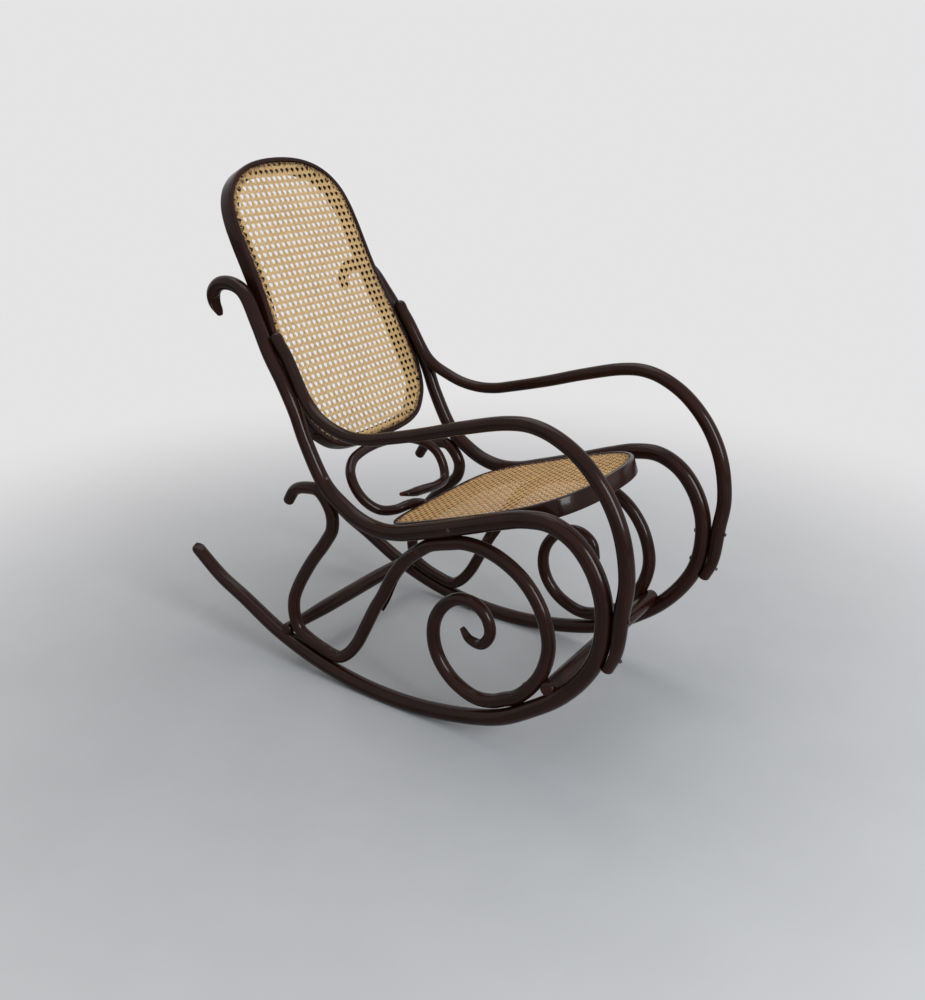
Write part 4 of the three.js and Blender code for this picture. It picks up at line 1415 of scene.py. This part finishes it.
@dataclass(frozen=True)
class CanedFrame:
    """A bent rim with a ledge, its woven cane, and the ends of the strands along the edge."""

    word: str
    plane: TiltedPlane
    shares: Sequence[Pair]
    half_width: float
    rise: float
    depth: float
    ledge: float
    cane: Finish
    width: float = 0.027
    ledge_depth: float = 0.0044
    net_middle: float = 0.0029
    hole_inset: float = 0.0035
    end_width: float = 0.0019
    end_lengths: Pair = (0.005, 0.012)
    end_starts: tuple[float, ...] = (-0.0055, -0.002, 0.002, 0.0055)
    end_lean: float = 0.8
    end_stray_part: int = 12
    end_behind: float = 0.0025
    end_heights: Pair = (0.0004, 0.0011)
    end_points: int = 7
    end_seed: int = 11
    wear: float = 0.12
    spacing: float = 0.004
    fine_count: int = 2000

    @property
    def centre(self) -> Point:
        """The frame's middle, as across and along."""
        return np.array([0.0, self.rise / 2])

    def outline(self, count: int) -> tuple[Point, Point]:
        """Points round the frame's outer edge.

        Args:
            count: how many.

        Returns:
            The points, as across and along, and the outward directions there.
        """
        half = [np.array([out * self.half_width, up * self.rise, 0]) for out, up in self.shares]
        mirrored = [point * [-1, 1, 1] for point in half[-2:0:-1]]
        curve = Bend([*half, *mirrored], closed=True)
        points = curve.at(np.arange(count) / count)[:, :2]
        way = np.roll(points, -1, axis=0) - np.roll(points, 1, axis=0)
        outward = np.stack([way[:, 1], -way[:, 0]], axis=-1)
        outward /= np.linalg.norm(outward, axis=1, keepdims=True)
        if float(np.sum(outward * (points - self.centre))) < 0:
            outward = -outward
        return points, outward

    @staticmethod
    def eased(corners: Sequence[Triple], steps: int = 5) -> Point:
        """A profile with its corners rounded.

        Args:
            corners: inset, depth and radius of each corner.
            steps: how many points stand for a rounded corner.

        Returns:
            Rows of inset and depth.
        """
        rows = []
        for k, (inset, depth, radius) in enumerate(corners):
            here = np.array([inset, depth])
            start = here + radius * unit(np.array(corners[k - 1][:2]) - here)
            end = here + radius * unit(np.array(corners[(k + 1) % len(corners)][:2]) - here)
            for t in np.linspace(0, 1, steps):
                rows.append((1 - t) ** 2 * start + 2 * t * (1 - t) * here + t ** 2 * end)
        return np.array(rows)

    def build_rim(self) -> None:
        """The rim, its outer corners eased and a ledge for the cane along its inner edge."""
        edge = self.width - self.ledge
        profile = self.eased([
            (0, 0, 0.0045), (0, self.depth, 0.005), (self.width, self.depth, 0.003),
            (self.width, self.ledge_depth, 0.0025), (edge, self.ledge_depth, 0.0006),
            (edge, 0, 0.0012),
        ])
        count = int(2 * (self.rise + 2 * self.half_width) / self.spacing)
        points, outward = self.outline(count)
        flat = points[:, None] - outward[:, None] * profile[None, :, :1]
        grid = self.plane.at(flat[..., 0], flat[..., 1], profile[None, :, 1])
        turn = np.cross(grid[0, 1] - grid[0, 0], grid[1, 0] - grid[0, 0])
        if float(turn @ (grid[0, 0] - grid[0].mean(axis=0))) < 0:
            grid, profile = grid[:, ::-1], profile[::-1]
        length = float(np.sum(np.linalg.norm(points - np.roll(points, 1, axis=0), axis=1)))
        parts = MeshParts().add_grid(
            grid, np.linspace(0, length, count + 1), distances(looped(profile)),
            np.full(count, self.wear), closed=True)
        dress(parts.build(f"{self.word}_rim_bent"), Finish.BEECH, f"{self.word}_rim_wood",
              f"{self.word}_rim")

    def holes(self) -> Point:
        """The drilled holes, evenly spaced.

        Returns:
            Their places, as across and along.
        """
        fine, outward = self.outline(self.fine_count)
        line = looped(fine - outward * (self.width - self.ledge + self.hole_inset))
        marks = distances(line)
        count = round(marks[-1] / Weave.pitch)
        places = np.arange(count) * marks[-1] / count
        return np.stack([np.interp(places, marks, line[:, k]) for k in range(2)], axis=-1)

    def lay(self, parts: MeshParts, name: str, finish: Finish, slot: str, node: str) -> None:
        """Lays flat strands on the ledge, makes them a piece and dresses it.

        Args:
            parts: the strands, the third coordinate up from the net's middle.
            name: the piece's name, which like slot and node goes after the frame's word.
            finish: the piece's finish.
            slot: the record's material slot.
            node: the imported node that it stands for.
        """
        parts.corners = [self.plane.at(c[:, 0], c[:, 1], self.net_middle - c[:, 2])
                         for c in parts.corners]
        dress(parts.build(f"{self.word}_{name}", "tone"), finish, f"{self.word}_{slot}",
              f"{self.word}_{node}")

    def strand_ends(self, holes: Point) -> MeshParts:
        """The strands' ends over the edge: short loops that lean in from every hole.

        Args:
            holes: the drilled holes in their order round the frame.

        Returns:
            The corners and faces, flat like the weave's.
        """
        rng = random.Random(self.end_seed)
        weave = Weave(strand_width=self.end_width)
        parts = MeshParts()
        swing = np.linspace(0, 1, self.end_points)
        low, hump = self.end_heights
        for hole, following in zip(holes, np.roll(holes, -1, axis=0)):
            along = unit(following - hole)
            inward = np.array([-along[1], along[0]])
            inward *= math.copysign(1, float(inward @ (self.centre - hole)))
            for start in self.end_starts:
                lean = rng.uniform(-self.end_lean, self.end_lean)
                length = rng.uniform(*self.end_lengths)
                way = inward * math.cos(lean) + along * math.sin(lean)
                stray = rng.uniform(-1, 1) * weave.pitch / self.end_stray_part
                first = hole + along * (start + stray) - inward * self.end_behind
                line = first + way * length * swing[:, None]
                grid = weave.strand_grid(line, low + hump * np.sin(math.pi * swing))
                tone = np.full(len(swing), rng.random())
                parts.add_grid(grid, length * swing, weave.around, tone)
        return parts

    def build(self) -> None:
        """Builds rim, cane and the strands' ends."""
        self.build_rim()
        holes = self.holes()
        self.lay(Weave().build(holes, self.centre), "weave", self.cane, "cane", "cane")
        self.lay(self.strand_ends(holes), "strand_ends", Finish.CANE_ENDS, "binder_cane", "binder")


@dataclass(frozen=True)
class BraceRing:
    """The bent ring between the back's foot and the seat's rear, its lower end sprung free."""

    reach: float = 0.160
    seat_x: float = -0.022
    nose: float = 0.002
    nail_shares: Pair = (0.978, 0.982)

    def path(self) -> Bend:
        """From the seat's rear edge up, under the back's foot, and down to the free end.

        Returns:
            The path.
        """
        scale = np.array([self.reach, CHAIR_LENGTH, SIDE_HEIGHT])
        return Bend([
            SEAT_PLANE.at(self.seat_x, SEAT_PLANE.reach + RING_HALF + 2 * GAP, RIM_EDGE),
            *(np.array(row) * scale for row in RING_RISE_SHARES),
            BACK_PLANE.at(0.0, -RING_HALF - GAP, BACK_RIM_DEPTH / 2),
            *(np.array(row) * scale for row in RING_FALL_SHARES),
        ])

    def build(self) -> None:
        """Builds the ring and the two nails in its free end."""
        path = self.path()
        wear = [(0, 0.02, 0.4), (1, 0.008, 0.65), (0.5, 0.1, 0.2)]
        Rod(path, RING_STOPS, self.nose, self.nose).build(
            "brace_ring_rod", wear, "ring_wood", "brace_ring")
        for word, share, way in zip(("upper", "lower"), self.nail_shares, (1, -1)):
            out = path.sideways(share) * way
            seat = path.at(share) + out * float(sizes_at(RING_STOPS, share)[0])
            RoundHead(half=0.0016, rise=0.0045, slot_half=0.0).build(
                f"ring_nail_{word}", seat, out)


@dataclass(frozen=True)
class SoftLamp:
    """A flat soft lamp that hangs in one place and faces another."""

    name: str
    place: Triple
    aim: Triple
    size: Pair
    watts: float
    colour: Colour

    def build(self) -> None:
        """Makes the lamp."""
        lamp = bpy.data.lights.new(self.name, "AREA")
        lamp.shape = "RECTANGLE"
        lamp.size, lamp.size_y = self.size
        lamp.energy = self.watts
        lamp.color = self.colour
        put(add_object(self.name, lamp), self.place, Vector(self.aim) - Vector(self.place))


@dataclass(frozen=True)
class Studio:
    """Floor, soft light, pale background and the camera at the photograph's viewing angle."""

    camera_place: Triple = (-1.6028, -1.1612, 1.1857)
    camera_way: Triple = (0.7620, 0.5265, -0.3766)
    lens: float = 24.0
    sensor: float = 24.0
    floor_half: float = 9.0
    world_strength: float = 0.42
    world_colour: Colour = (0.95, 0.97, 1.0)
    lamps: tuple[SoftLamp, ...] = (
        SoftLamp("window", (-1.1, -3.4, 1.9), (0, 0, 0.5), (1.15, 1.9), 95, (0.90, 0.95, 1.0)),
        SoftLamp("ceiling", (0.4, 0.6, 3.6), (0, 0, 0.4), (2.6, 2.6), 44, (1.0, 0.97, 0.93)),
    )

    def build_floor(self) -> None:
        """The floor."""
        half = self.floor_half
        mesh = bpy.data.meshes.new("floor")
        mesh.from_pydata([(-half, -half, 0), (half, -half, 0), (half, half, 0), (-half, half, 0)],
                         [], [(0, 1, 2, 3)])
        mesh.materials.append(painted("pale_floor", PaleFloor()))
        floor = add_object("floor", mesh)

    def build_world(self) -> None:
        """Plain soft light, and a pale background for the camera and in reflections."""
        world = bpy.data.worlds.new("studio")
        bpy.context.scene.world = world
        tree = NodeTree(world)
        seen = (tree.ray("Is Camera Ray") + tree.ray("Is Glossy Ray")
                + tree.ray("Is Transmission Ray"))
        light = tree.node("ShaderNodeBackground", {},
                          {0: self.world_colour, 1: self.world_strength})
        pale = tree.node("ShaderNodeBackground", {}, {0: PaleFloor.background, 1: 1.0})
        inputs = {0: seen.step(0.0, 1.0), 1: light.outputs[0], 2: pale.outputs[0]}
        mixed = tree.node("ShaderNodeMixShader", {}, inputs)
        tree.node("ShaderNodeOutputWorld", {}, {0: mixed.outputs[0]})

    def build_camera(self) -> None:
        """The camera."""
        data = bpy.data.cameras.new("camera")
        data.sensor_fit = "VERTICAL"
        data.sensor_height = self.sensor
        data.lens = self.lens
        camera = add_object("camera", data)
        put(camera, self.camera_place, Vector(self.camera_way))
        bpy.context.scene.camera = camera

    def build(self) -> None:
        """Builds the whole studio."""
        self.build_floor()
        self.build_world()
        for lamp in self.lamps:
            lamp.build()
        self.build_camera()
        bpy.context.scene.view_settings.view_transform = "Standard"


def main() -> None:
    """Builds the chair and its studio."""
    logging.basicConfig(level=logging.INFO, format="%(message)s")
    right = SideFrame(-1)
    right.build()
    SideFrame(1).build()
    member = right.member
    front = member.share_at(2, FRONT_STRETCHER_SHARE * SIDE_HEIGHT, *LOWER_LOOP_SPAN_SHARES)
    rear = member.share_at(1, REAR_STRETCHER_SHARE * CHAIR_LENGTH, *RUNNER_SPAN_SHARES)
    for name, share, stretcher in (
            ("front_stretcher", front, Stretcher(end_half=0.0163, body_half=0.0165)),
            ("rear_stretcher", rear, Stretcher(end_half=0.0135, body_half=0.0172))):
        seat = right.against(share, stretcher.seat_half - stretcher.drop, 1, rise=0)
        stretcher.build(name, seat, [(0, 0.01, 0.5), (1, 0.02, 0.45), (0.5, 0.2, 0.25)])
    inner = SIDE_SPACING / 2 - 2 * GAP
    CanedFrame("back", BACK_PLANE, BACK_SHARES, half_width=inner - STILE_HALF, rise=BACK_RISE,
               depth=BACK_RIM_DEPTH, ledge=0.017, cane=Finish.BACK_CANE).build()
    CanedFrame("seat", SEAT_PLANE, SEAT_SHARES, half_width=inner - RAIL_HALF,
               rise=SEAT_PLANE.reach, depth=SEAT_RIM_DEPTH, ledge=0.019,
               cane=Finish.SEAT_CANE).build()
    BraceRing().build()
    Studio().build()


if __name__ == "__main__":
    main()
